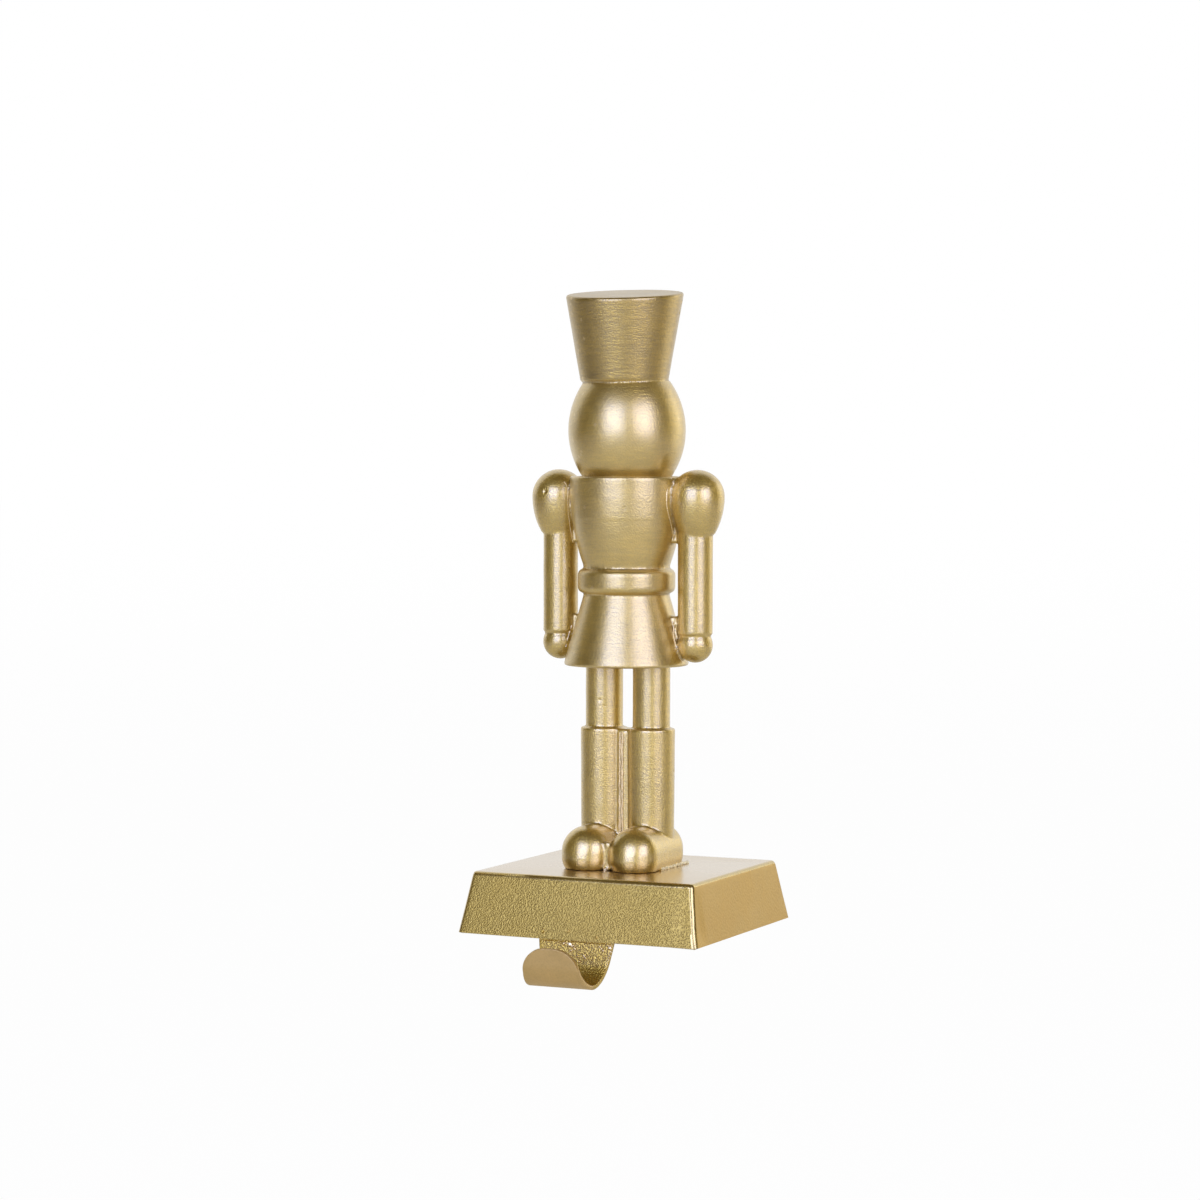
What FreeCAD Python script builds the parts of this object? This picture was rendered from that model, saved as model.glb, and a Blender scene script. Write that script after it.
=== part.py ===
"""Mantel stocking holder: a cast soldier figure screwed to a folded sheet base that carries a bent strip hook.

Millimetres. +X is the viewer's right, -Y the front with the hook, +Z up.
The origin is the middle of the base's lower rim, which stands on the shelf at Z = 0.
"""

import FreeCAD, Part
import math
import os
import re

import Sketcher

# Driving dimensions, each written once
SIZES = {
    # Whole figure, from its soles to the middle of the hat's top; its legs take up a change
    "figure_tall": 211.8,
    # Folded sheet base, open underneath
    "base_width": 95.8,
    "base_depth": 90.6,
    "base_tall": 22.1,
    "side_wall_inset": 3.8,
    "front_wall_inset": 5.2,
    "sheet_gauge": 1.5,
    "corner_radius": 1.8,
    "fold_radius": 1.9,
    # Hook strip, welded inside the front wall
    "strip_gauge": 1.5,
    "strip_half_width": 14.8,
    "strip_weld_overlap": 12.0,
    "hook_drop": 15.5,
    "hook_bend_radius": 11.2,
    "hook_bend_half_width": 12.2,
    "hook_tip_flare": 10.0,
    "hook_tip_below_rim": 0.3,
    "hook_tip_half_width": 11.0,
    "hook_tip_corner": 9.0,
    # Weld beads
    "tack_radius": 1.3,
    "tack_spacing": 10.8,
    "weld_bead_radius": 1.4,
    # Screws from beneath, one in each foot
    "screw_radius": 2.0,
    "screw_reach": 9.0,
    "screw_head_radius": 3.9,
    "screw_head_tall": 2.6,
    "screw_head_round": 0.9,
    "socket_radius": 1.3,
    "socket_depth": 1.5,
    "screw_hole_gap": 0.25,
    "bore_gap": 0.05,
    "washer_radius": 4.5,
    "washer_gauge": 0.8,
    # Feet, boots and legs
    "leg_spacing": 19.1,
    "leg_set_back": 1.4,
    "foot_radius": 9.6,
    "foot_tall": 15.9,
    "foot_bulge_rise": 4.9,
    "sole_radius": 8.8,
    "foot_front": 13.3,
    "foot_back": 7.4,
    "boot_foot_radius": 8.55,
    "boot_top_radius": 8.85,
    "boot_top": 51.5,
    "boot_edge_round": 0.6,
    "leg_radius": 7.0,
    # Skirt, belt and torso
    "skirt_radius": 23.2,
    "skirt_edge_round": 0.7,
    "skirt_tall": 26.7,
    "waist_radius": 15.8,
    "belt_radius": 18.1,
    "belt_tall": 9.2,
    "belt_round": 2.2,
    "torso_waist_tall": 19.4,
    "torso_belly": 0.6,
    "torso_radius": 20.8,
    "torso_chest_tall": 14.7,
    "torso_top_radius": 21.2,
    "torso_edge_round": 1.0,
    # Head and hat
    "neck_radius": 15.9,
    "head_radius": 21.75,
    "head_tall": 35.0,
    "hat_radius": 16.3,
    "hat_top_radius": 21.9,
    "hat_tall": 32.2,
    "hat_forward": 1.2,
    "hat_aside": 0.6,
    "hat_top_slope": 6.6,
    "hat_rim_round": 0.8,
    # Arms, measured down from the torso's top
    "shoulder_out": 28.0,
    "shoulder_radius": 10.1,
    "shoulder_above_torso": 2.5,
    "shoulder_taper_tall": 13.6,
    "arm_out": 27.3,
    "arm_set_back": 0.7,
    "arm_radius": 6.5,
    "arm_below_torso": 58.9,
    "cuff_groove": 0.6,
    "cuff_groove_tall": 1.0,
    "wrist_radius": 5.9,
    "hand_radius": 6.6,
    # Webs left where the mould halves met
    "web_gauge": 3.2,
    "armpit_web_tall": 10.0,
    "hand_web_tall": 10.5,
    "boot_web_gauge": 9.4,
}

# Heading of the hat top's slope, in degrees from straight ahead: the casting leans a little to one side
HAT_SLOPE_HEADING = 10.8

WORD = re.compile(r"[a-z][a-z_]*[a-z]")

doc = FreeCAD.newDocument("mantel_stocking_holder")
sheet = doc.addObject("Spreadsheet::Sheet", "sizes")
for row, (name, size) in enumerate(SIZES.items(), start=1):
    sheet.set(f"A{row}", name)
    sheet.set(f"B{row}", str(size))
    sheet.setAlias(f"B{row}", name)
doc.recompute()


def bound(text):
    """The expression with each size's name pointed at its cell."""
    return WORD.sub(lambda word: f"sizes.{word[0]}" if word[0] in SIZES else word[0], text)


def value(text):
    """What an expression of the sizes comes to now."""
    return float(sheet.evalExpression(bound(text)))


def new_body(label):
    """An empty body with its own label."""
    body = doc.addObject("PartDesign::Body", label)
    body.Label = label
    return body


def origin_plane(body, role):
    """One of the body's own origin planes."""
    return next(item for item in body.Origin.OriginFeatures if item.Role == role)


def new_sketch(body, role, name, right="0", up="0", out="0"):
    """An empty sketch on an origin plane, shifted right, up and out along its own axes."""
    sketch = body.newObject("Sketcher::SketchObject", name)
    sketch.AttachmentSupport = (origin_plane(body, role), "")
    sketch.MapMode = "FlatFace"
    for axis, text in (("x", right), ("y", up), ("z", out)):
        if text != "0":
            sketch.setExpression(f"AttachmentOffset.Base.{axis}", bound(text))
    return sketch


def pin(sketch, curve, end, text, kind, axis):
    """Holds one coordinate of a curve's end at an expression."""
    if text == "0":
        sketch.addConstraint(Sketcher.Constraint("PointOnObject", curve, end, axis))
        return
    index = sketch.addConstraint(Sketcher.Constraint(kind, -1, 1, curve, end, value(text)))
    sketch.setExpression(f"Constraints[{index}]", bound(text))


def arc_between(start, end, radius, turn):
    """The shorter arc from start to end; turn is 1 for a left-hand bend and -1 for a right-hand one."""
    chord = end - start
    middle = (start + end) * 0.5
    rise = math.sqrt(max(radius**2 - (chord.Length / 2) ** 2, 0.0))
    centre = middle + FreeCAD.Vector(-chord.y, chord.x, 0).normalize() * rise * turn
    first, last = (start, end) if turn > 0 else (end, start)
    angles = [math.atan2(point.y - centre.y, point.x - centre.x) for point in (first, last)]
    circle = Part.Circle(centre, FreeCAD.Vector(0, 0, 1), radius)
    return Part.ArcOfCircle(circle, angles[0], angles[1] + (2 * math.pi if angles[1] < angles[0] else 0))


def outline(sketch, corners, arcs=None):
    """Joins the corners by lines, or by an arc where arcs gives {corner: (radius, turn)}, and closes the loop."""
    arcs = arcs or {}
    points = [FreeCAD.Vector(value(across), value(along), 0) for across, along in corners]
    first_curve = sketch.GeometryCount
    ends = []
    for number, start in enumerate(points):
        end = points[(number + 1) % len(points)]
        if number in arcs:
            radius, turn = arcs[number]
            sketch.addGeometry(arc_between(start, end, value(radius), turn), False)
            ends.append((1, 2) if turn > 0 else (2, 1))
        else:
            sketch.addGeometry(Part.LineSegment(start, end), False)
            ends.append((1, 2))
    for number in range(len(points)):
        following = (number + 1) % len(points)
        sketch.addConstraint(Sketcher.Constraint("Coincident", first_curve + number, ends[number][1],
                                                 first_curve + following, ends[following][0]))
        across, along = corners[number]
        pin(sketch, first_curve + number, ends[number][0], across, "DistanceX", -2)
        pin(sketch, first_curve + number, ends[number][0], along, "DistanceY", -1)
    for number, (radius, _) in arcs.items():
        index = sketch.addConstraint(Sketcher.Constraint("Radius", first_curve + number, value(radius)))
        sketch.setExpression(f"Constraints[{index}]", bound(radius))
    return sketch


def circles(sketch, centres, radius):
    """A circle of one bound radius round each centre."""
    for across, along in centres:
        centre = FreeCAD.Vector(value(across), value(along), 0)
        curve = sketch.addGeometry(Part.Circle(centre, FreeCAD.Vector(0, 0, 1), value(radius)), False)
        pin(sketch, curve, 3, across, "DistanceX", -2)
        pin(sketch, curve, 3, along, "DistanceY", -1)
        index = sketch.addConstraint(Sketcher.Constraint("Radius", curve, value(radius)))
        sketch.setExpression(f"Constraints[{index}]", bound(radius))
    return sketch


def revolve(body, name, sketch, axis="V_Axis"):
    """A full turn of a sketch about one of its own axes."""
    turned = body.newObject("PartDesign::Revolution", name)
    turned.Profile = sketch
    turned.ReferenceAxis = (sketch, [axis])
    turned.Angle = 360.0
    return turned


def pad(body, name, sketch, length, midplane=True):
    """A pad of bound length, to both sides of its sketch unless told otherwise."""
    padded = body.newObject("PartDesign::Pad", name)
    padded.Profile = sketch
    padded.Midplane = midplane
    padded.setExpression("Length", bound(length))
    return padded


def pocket(body, name, sketch, depth, forward=False):
    """A cut against the sketch's normal, or along it when forward, that must take something away."""
    doc.recompute()
    before = body.Shape.Volume
    cut = body.newObject("PartDesign::Pocket", name)
    cut.Profile = sketch
    cut.Reversed = forward
    cut.setExpression("Length", bound(depth))
    doc.recompute()
    if body.Shape.Volume > before - 0.01:
        raise RuntimeError(f"{name} cuts nothing")
    return cut


def fillet(body, name, radius, wanted):
    """Rounds the edges of the body's present shape for which wanted(edge) is true."""
    doc.recompute()
    base = body.Tip
    names = [f"Edge{n}" for n, edge in enumerate(base.Shape.Edges, start=1) if wanted(edge)]
    if not names:
        raise RuntimeError(f"{name} finds no edge")
    rounded = body.newObject("PartDesign::Fillet", name)
    rounded.Base = (base, names)
    rounded.setExpression("Radius", bound(radius))
    return rounded


def mirror(body, name, features):
    """The same features again on the other side of the figure."""
    mirrored = body.newObject("PartDesign::Mirrored", name)
    mirrored.Originals = features
    mirrored.MirrorPlane = (origin_plane(body, "YZ_Plane"), [""])
    body.Tip = mirrored
    return mirrored


def rectangle(half_width, low, high):
    """Corners of a rectangle centred across, from low to high along."""
    left = f"-({half_width})"
    return [(left, low), (half_width, low), (half_width, high), (left, high)]


# Heights and places that several pieces share
SCREW_Y = "leg_set_back - (foot_front + leg_set_back) / 3"
SCREW_PLACES = [(f"{side} * leg_spacing / 2", SCREW_Y) for side in (-1, 1)]
WALL_LEAN = "atan(front_wall_inset / base_tall)"
WALL_FACE = f"(-base_depth / 2 + sheet_gauge / cos({WALL_LEAN}))"
TRUNK_TALL = "(skirt_tall + belt_tall + torso_waist_tall + torso_chest_tall)"
SKIRT_Z = f"base_tall + figure_tall - hat_tall - head_tall - {TRUNK_TALL}"
BELT_Z = f"{SKIRT_Z} + skirt_tall"
WAIST_Z = f"{BELT_Z} + belt_tall"
CHEST_Z = f"{WAIST_Z} + torso_waist_tall"
TORSO_TOP_Z = f"{CHEST_Z} + torso_chest_tall"
HEAD_TOP_Z = f"{TORSO_TOP_Z} + head_tall"
CUFF_Z = f"{TORSO_TOP_Z} - arm_below_torso"


def crown_radius(chord, crown):
    """Radius of an arc from its chord and how far its middle stands off that chord."""
    return f"(({chord})^2 / 4 + ({crown})^2) / (2 * ({crown}))"


def make_base():
    """The folded sheet box: four leaning walls under a flat top, rounded at its folds, open below."""
    body = new_body("base_shell")
    block = body.newObject("PartDesign::AdditiveWedge", "base_block")
    block.AttachmentSupport = (origin_plane(body, "XY_Plane"), "")
    block.MapMode = "FlatFace"
    block.AttachmentOffset = FreeCAD.Placement(FreeCAD.Vector(), FreeCAD.Rotation(FreeCAD.Vector(1, 0, 0), 90))
    half_width, half_depth = "base_width / 2", "base_depth / 2"
    for edge, text in (
        ("Xmin", f"-{half_width}"), ("Xmax", half_width), ("Ymin", "0"), ("Ymax", "base_tall"),
        ("Zmin", f"-{half_depth}"), ("Zmax", half_depth),
        ("X2min", f"-{half_width} + side_wall_inset"), ("X2max", f"{half_width} - side_wall_inset"),
        ("Z2min", f"-{half_depth} + front_wall_inset"), ("Z2max", f"{half_depth} - front_wall_inset"),
    ):
        block.setExpression(edge, bound(text))
    top = value("base_tall")
    fillet(body, "base_corners", "corner_radius",
           lambda edge: abs(edge.Vertexes[0].Z - edge.Vertexes[-1].Z) > top / 2)
    fillet(body, "base_folds", "fold_radius",
           lambda edge: all(abs(vertex.Z - top) < 0.01 for vertex in edge.Vertexes))
    doc.recompute()
    solid = body.Tip
    rim = next(f"Face{n}" for n, face in enumerate(solid.Shape.Faces, start=1) if face.CenterOfMass.z < 0.01)
    hollow = body.newObject("PartDesign::Thickness", "base_hollow")
    hollow.Base = (solid, [rim])
    hollow.Reversed = True
    hollow.Mode = "Skin"
    hollow.Join = "Arc"
    hollow.setExpression("Value", bound("sheet_gauge"))
    holes = circles(new_sketch(body, "XY_Plane", "screw_hole_centres"), SCREW_PLACES,
                    "screw_radius + screw_hole_gap")
    pocket(body, "screw_holes", holes, "base_tall + sheet_gauge", forward=True)
    return body


def make_hook():
    """The strip hook: flat against the inside of the front wall, round its bend and up to a rounded tip."""
    body = new_body("stocking_hook")
    lean = WALL_LEAN
    back_face = f"({WALL_FACE} + strip_gauge / cos({lean}))"
    middle_z = "(hook_bend_radius - hook_drop)"
    start_z = f"({middle_z} - hook_bend_radius * sin({lean}))"
    middle_y = f"({back_face} + {start_z} * tan({lean}) - hook_bend_radius * cos({lean}))"
    inner = "(hook_bend_radius - strip_gauge)"
    tip_z = "(-hook_tip_below_rim)"
    tip_run = f"(({tip_z} - {middle_z} + hook_bend_radius * sin(hook_tip_flare)) * tan(hook_tip_flare))"
    tip_inner_run = f"(({tip_z} - {middle_z} + {inner} * sin(hook_tip_flare)) * tan(hook_tip_flare))"
    side = new_sketch(body, "YZ_Plane", "hook_side_outline")
    outline(
        side,
        [
            (f"{back_face} + strip_weld_overlap * tan({lean})", "strip_weld_overlap"),
            (f"{middle_y} + hook_bend_radius * cos({lean})", start_z),
            (middle_y, f"{middle_z} - hook_bend_radius"),
            (f"{middle_y} - hook_bend_radius * cos(hook_tip_flare)",
             f"{middle_z} - hook_bend_radius * sin(hook_tip_flare)"),
            (f"{middle_y} - hook_bend_radius * cos(hook_tip_flare) - {tip_run}", tip_z),
            (f"{middle_y} - {inner} * cos(hook_tip_flare) - {tip_inner_run}", tip_z),
            (f"{middle_y} - {inner} * cos(hook_tip_flare)", f"{middle_z} - {inner} * sin(hook_tip_flare)"),
            (middle_y, f"{middle_z} - {inner}"),
            (f"{middle_y} + {inner} * cos({lean})", f"{middle_z} - {inner} * sin({lean})"),
            (f"{WALL_FACE} + strip_weld_overlap * tan({lean})", "strip_weld_overlap"),
        ],
        {1: ("hook_bend_radius", -1), 2: ("hook_bend_radius", -1), 6: (inner, 1), 7: (inner, 1)},
    )
    pad(body, "hook_strip", side, "2 * strip_half_width")
    for hand, turn in ((1, 1), (-1, -1)):
        back = new_sketch(body, "XZ_Plane", f"back_taper_{'right' if hand > 0 else 'left'}", out=f"-{middle_y}")
        outline(back, [
            (f"{hand} * strip_half_width", "0"),
            (f"{hand} * hook_bend_half_width", "-hook_drop"),
            (f"{hand} * strip_half_width", "-hook_drop"),
        ])
        pocket(body, f"back_taper_cut_{'right' if hand > 0 else 'left'}", back, "base_depth")
        front = new_sketch(body, "XZ_Plane", f"tip_outline_{'right' if hand > 0 else 'left'}", out=f"-{middle_y}")
        outline(front, [
            (f"{hand} * (strip_half_width + hook_tip_corner)", "-hook_drop"),
            (f"{hand} * hook_bend_half_width", "-hook_drop"),
            (f"{hand} * hook_tip_half_width", f"{tip_z} - hook_tip_corner"),
            (f"{hand} * (hook_tip_half_width - hook_tip_corner)", tip_z),
            (f"{hand} * (strip_half_width + hook_tip_corner)", tip_z),
        ], {2: ("hook_tip_corner", turn)})
        pocket(body, f"tip_cut_{'right' if hand > 0 else 'left'}", front, "base_depth", forward=True)
    return body


def head_arc():
    """Radius of the head's side, from the neck out to the cheeks and back to the hat."""
    return crown_radius("head_tall", "head_radius - neck_radius")


def make_figure():
    """The soldier, one casting: turned forms joined, with the mould's webs and tapped bores in the feet."""
    body = new_body("soldier_figure")
    round_skirt, round_torso = "skirt_edge_round", "torso_edge_round"
    trunk = new_sketch(body, "XZ_Plane", "trunk_side")
    outline(
        trunk,
        [
            ("0", SKIRT_Z),
            (f"skirt_radius - {round_skirt}", SKIRT_Z),
            ("skirt_radius", f"{SKIRT_Z} + {round_skirt}"),
            ("waist_radius", BELT_Z),
            ("belt_radius - belt_round", BELT_Z),
            ("belt_radius", f"{BELT_Z} + belt_round"),
            ("belt_radius", f"{WAIST_Z} - belt_round"),
            ("belt_radius - belt_round", WAIST_Z),
            ("waist_radius", WAIST_Z),
            ("torso_radius", CHEST_Z),
            ("torso_top_radius", f"{TORSO_TOP_Z} - {round_torso}"),
            (f"torso_top_radius - {round_torso}", TORSO_TOP_Z),
            ("neck_radius", TORSO_TOP_Z),
            ("neck_radius", HEAD_TOP_Z),
            ("0", HEAD_TOP_Z),
        ],
        {
            1: (round_skirt, 1),
            4: ("belt_round", 1),
            6: ("belt_round", 1),
            8: (crown_radius("sqrt(torso_waist_tall^2 + (torso_radius - waist_radius)^2)", "torso_belly"), 1),
            10: (round_torso, 1),
            12: (head_arc(), 1),
        },
    )
    revolve(body, "trunk", trunk)
    make_hat(body)
    make_arms(body)
    make_legs(body)
    return body


def make_hat(body):
    """The tall flared hat, set a little forward, its flat top sloping down to the front."""
    hat = new_sketch(body, "XZ_Plane", "hat_side", right="-hat_aside", out="hat_forward")
    spare_tall = "hat_top_radius * tan(hat_top_slope)"
    flare = "(hat_top_radius - hat_radius) / hat_tall"
    outline(hat, [
        ("0", f"{HEAD_TOP_Z} - hat_rim_round"),
        ("hat_radius", f"{HEAD_TOP_Z} - hat_rim_round"),
        ("hat_radius", HEAD_TOP_Z),
        (f"hat_top_radius + 2 * {spare_tall} * {flare}", f"{HEAD_TOP_Z} + hat_tall + 2 * {spare_tall}"),
        ("0", f"{HEAD_TOP_Z} + hat_tall + 2 * {spare_tall}"),
    ])
    revolve(body, "hat", hat)
    slope = new_sketch(body, "XY_Plane", "hat_top_slope_plane", right="-hat_aside", up="-hat_forward",
                       out=f"{HEAD_TOP_Z} + hat_tall")
    outline(slope, rectangle("2 * hat_top_radius", "-2 * hat_top_radius", "2 * hat_top_radius"))
    heading = math.radians(HAT_SLOPE_HEADING)
    slope.AttachmentOffset = FreeCAD.Placement(
        slope.AttachmentOffset.Base,
        FreeCAD.Rotation(FreeCAD.Vector(math.cos(heading), math.sin(heading), 0), value("hat_top_slope")),
    )
    slope.setExpression("AttachmentOffset.Rotation.Angle", bound("hat_top_slope"))
    pocket(body, "hat_top_cut", slope, "hat_tall", forward=True)
    ring = value(f"{HEAD_TOP_Z} + hat_tall / 2")
    fillet(body, "hat_rim", "hat_rim_round",
           lambda edge: edge.CenterOfMass.z > ring and edge.BoundBox.XLength > value("hat_top_radius"))


def make_arms(body):
    """Egg-shaped shoulders over straight arms with a cuff groove and a rounded hand, on both sides."""
    shoulder_z = f"({TORSO_TOP_Z} + shoulder_above_torso - shoulder_radius)"
    arm_top_z = f"({shoulder_z} - shoulder_taper_tall)"
    shoulder = new_sketch(body, "XZ_Plane", "shoulder_side", right="shoulder_out", out="-arm_set_back")
    outline(
        shoulder,
        [
            ("0", arm_top_z),
            ("arm_radius", arm_top_z),
            ("shoulder_radius", shoulder_z),
            ("0", f"{shoulder_z} + shoulder_radius"),
        ],
        {
            1: (crown_radius("2 * shoulder_taper_tall", "shoulder_radius - arm_radius"), 1),
            2: ("shoulder_radius", 1),
        },
    )
    shoulder_ball = revolve(body, "shoulder", shoulder)
    hand_z = f"({CUFF_Z} - sqrt(hand_radius^2 - wrist_radius^2))"
    arm = new_sketch(body, "XZ_Plane", "arm_side", right="arm_out", out="-arm_set_back")
    outline(
        arm,
        [
            ("0", f"{hand_z} - hand_radius"),
            ("hand_radius", hand_z),
            ("wrist_radius", CUFF_Z),
            ("arm_radius - cuff_groove", f"{CUFF_Z} + cuff_groove_tall / 2"),
            ("arm_radius", f"{CUFF_Z} + cuff_groove_tall"),
            ("arm_radius", shoulder_z),
            ("0", shoulder_z),
        ],
        {0: ("hand_radius", 1), 1: ("hand_radius", 1)},
    )
    arm_bar = revolve(body, "arm", arm)
    web_in, web_out = "waist_radius", "arm_out"
    armpit = new_sketch(body, "XZ_Plane", "armpit_web_outline")
    outline(armpit, [
        (web_in, f"{CHEST_Z} - armpit_web_tall"),
        (web_out, f"{CHEST_Z} - armpit_web_tall"),
        (web_out, CHEST_Z),
        (web_in, CHEST_Z),
    ])
    armpit_web = pad(body, "armpit_web", armpit, "web_gauge")
    palm = new_sketch(body, "XZ_Plane", "hand_web_outline")
    outline(palm, [(web_in, hand_z), (web_out, hand_z), (web_out, f"{hand_z} + hand_web_tall"),
                   (web_in, f"{hand_z} + hand_web_tall")])
    hand_web = pad(body, "hand_web", palm, "web_gauge")
    mirror(body, "other_arm", [shoulder_ball, arm_bar, armpit_web, hand_web])


def make_legs(body):
    """Round legs in taller boots on long domed feet, flat where they stand on the base."""
    boot_z = "base_tall + boot_top"
    boot = new_sketch(body, "XZ_Plane", "boot_side", right="leg_spacing / 2", out="-leg_set_back")
    outline(
        boot,
        [
            ("0", "base_tall"),
            ("boot_foot_radius", "base_tall"),
            ("boot_top_radius", f"{boot_z} - boot_edge_round"),
            ("boot_top_radius - boot_edge_round", boot_z),
            ("leg_radius", boot_z),
            ("leg_radius", f"{SKIRT_Z} + skirt_edge_round"),
            ("0", f"{SKIRT_Z} + skirt_edge_round"),
        ],
        {2: ("boot_edge_round", 1)},
    )
    leg_and_boot = revolve(body, "leg_and_boot", boot)
    side_of_foot = [("sole_radius", "0"), ("foot_radius", "foot_bulge_rise"),
                    ("foot_radius", "foot_tall - foot_radius"), ("0", "foot_tall")]
    sole_arc = crown_radius("2 * foot_bulge_rise", "foot_radius - sole_radius")
    foot_forms = []
    for name, ahead in (("toe", "foot_front"), ("heel", "-foot_back")):
        end = new_sketch(body, "XZ_Plane", f"{name}_side", right="leg_spacing / 2", up="base_tall", out=ahead)
        outline(end, [("0", "0"), *side_of_foot], {1: (sole_arc, 1), 3: ("foot_radius", 1)})
        foot_forms.append(revolve(body, name, end))
    section = new_sketch(body, "XZ_Plane", "foot_section", right="leg_spacing / 2", up="base_tall",
                         out="-foot_back")
    outline(
        section,
        side_of_foot + [(f"-{across}", along) for across, along in reversed(side_of_foot[:3])],
        {0: (sole_arc, 1), 2: ("foot_radius", 1), 3: ("foot_radius", 1), 5: (sole_arc, 1)},
    )
    instep = pad(body, "instep", section, "foot_front + foot_back", midplane=False)
    mirror(body, "other_leg", [leg_and_boot, *foot_forms, instep])
    web = new_sketch(body, "XZ_Plane", "boot_web_outline", out="-leg_set_back")
    outline(web, rectangle("leg_spacing / 2 - leg_radius", "base_tall + foot_bulge_rise",
                           f"{boot_z} - boot_edge_round / 2"))
    pad(body, "boot_web", web, "boot_web_gauge")
    bores = circles(new_sketch(body, "XY_Plane", "bore_centres", out="base_tall"), SCREW_PLACES,
                    "screw_radius + bore_gap")
    pocket(body, "screw_bores", bores, "screw_reach + 1", forward=True)


def make_screw(hand, place):
    """A pan-head machine screw with a hexagon socket, up through the base into one foot."""
    body = new_body(f"{hand}_foot_screw")
    seat_z = "(base_tall - sheet_gauge - washer_gauge)"
    head_z = f"({seat_z} - screw_head_tall)"
    across, along = place
    side = new_sketch(body, "XZ_Plane", f"{hand}_screw_side", right=across, out=f"-({along})")
    outline(
        side,
        [
            ("0", head_z),
            ("screw_head_radius - screw_head_round", head_z),
            ("screw_head_radius", f"{head_z} + screw_head_round"),
            ("screw_head_radius", seat_z),
            ("screw_radius", seat_z),
            ("screw_radius", "base_tall + screw_reach - screw_radius / 4"),
            ("screw_radius * 3 / 4", "base_tall + screw_reach"),
            ("0", "base_tall + screw_reach"),
        ],
        {1: ("screw_head_round", 1)},
    )
    revolve(body, f"{hand}_screw_form", side)
    socket = new_sketch(body, "XY_Plane", f"{hand}_socket_outline", right=across, up=along, out=head_z)
    outline(socket, [(f"socket_radius * cos({turn})", f"socket_radius * sin({turn})")
                     for turn in (30, 90, 150, 210, 270, 330)])
    pocket(body, f"{hand}_socket", socket, "socket_depth", forward=True)
    return body


def make_washer(hand, place):
    """A plain washer between the screw's head and the inside of the base."""
    body = new_body(f"{hand}_foot_washer")
    seat_z = "base_tall - sheet_gauge - washer_gauge"
    ring = new_sketch(body, "XY_Plane", f"{hand}_washer_outline", out=seat_z)
    circles(ring, [place], "washer_radius")
    circles(ring, [place], "screw_radius + screw_hole_gap")
    pad(body, f"{hand}_washer_ring", ring, "washer_gauge", midplane=False)
    return body


def make_weld(base, hook):
    """The weld that holds the hook: a bead down each side of the strip inside, and tacks under the rim."""
    pieces = []
    for number in (-1, 0, 1):
        tack = doc.addObject("Part::Ellipsoid", f"tack_{number + 2}")
        for radius, text in (("Radius1", "tack_radius"), ("Radius2", "tack_radius * 3 / 2"),
                             ("Radius3", "tack_radius")):
            tack.setExpression(radius, bound(text))
        tack.setExpression("Placement.Base.x", bound(f"{number} * tack_spacing"))
        tack.setExpression("Placement.Base.y", bound(f"{WALL_FACE} - tack_radius / 5"))
        tack.setExpression("Placement.Base.z", bound("-tack_radius / 5"))
        pieces.append(tack)
    for hand in (-1, 1):
        bead = doc.addObject("Part::Cylinder", f"side_bead_{'left' if hand < 0 else 'right'}")
        bead.setExpression("Radius", bound("weld_bead_radius"))
        bead.setExpression("Height", bound("strip_weld_overlap - 2 * weld_bead_radius"))
        bead.Placement.Rotation = FreeCAD.Rotation(FreeCAD.Vector(-1, 0, 0), value(WALL_LEAN))
        bead.setExpression("Placement.Rotation.Angle", bound(WALL_LEAN))
        bead.setExpression("Placement.Base.x", bound(f"{hand} * strip_half_width"))
        bead.setExpression("Placement.Base.y", bound(f"{WALL_FACE} + weld_bead_radius * tan({WALL_LEAN})"))
        bead.setExpression("Placement.Base.z", bound("weld_bead_radius"))
        pieces.append(bead)
    beads = doc.addObject("Part::MultiFuse", "bead_forms")
    beads.Shapes = pieces
    clear_of_base = doc.addObject("Part::Cut", "beads_clear_of_base")
    clear_of_base.Base, clear_of_base.Tool = beads, base
    weld = doc.addObject("Part::Cut", "hook_weld_beads")
    weld.Base, weld.Tool = clear_of_base, hook
    weld.Label = "hook_weld_beads"
    return weld


def build():
    """Every piece of the holder, in the order it is put together."""
    base = make_base()
    hook = make_hook()
    pieces = [base, hook, make_weld(base, hook), make_figure()]
    for hand, place in zip(("left", "right"), SCREW_PLACES):
        pieces += [make_washer(hand, place), make_screw(hand, place)]
    doc.recompute()
    return pieces


def save(pieces):
    """Writes each piece to its own file, once nothing in the document has failed."""
    failed = [item.Name for item in doc.Objects if {"Invalid", "Error"} & set(item.State)]
    if failed:
        raise RuntimeError(f"failed: {', '.join(failed)}")
    os.makedirs("parts", exist_ok=True)
    for piece in pieces:
        shape = piece.Shape
        if shape.isNull() or not shape.isValid() or not shape.Solids:
            raise RuntimeError(f"{piece.Label} has no sound solid")
        print(piece.Label, len(shape.Solids), "solid(s),", round(shape.Volume), "cubic mm")
    for piece in pieces:
        piece.Shape.exportStep(f"parts/{piece.Label}.step")


save(build())
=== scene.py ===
"""Looks for the mantel stocking holder: a gold-painted cast figure on a folded base with a strip hook.

Metres, in the CAD frame: +X the viewer's right, -Y the front with the hook, +Z up, the shelf at Z = 0.
"""

import math
from contextlib import contextmanager
from itertools import accumulate

import bpy
from mathutils import Matrix, Vector, noise


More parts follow.
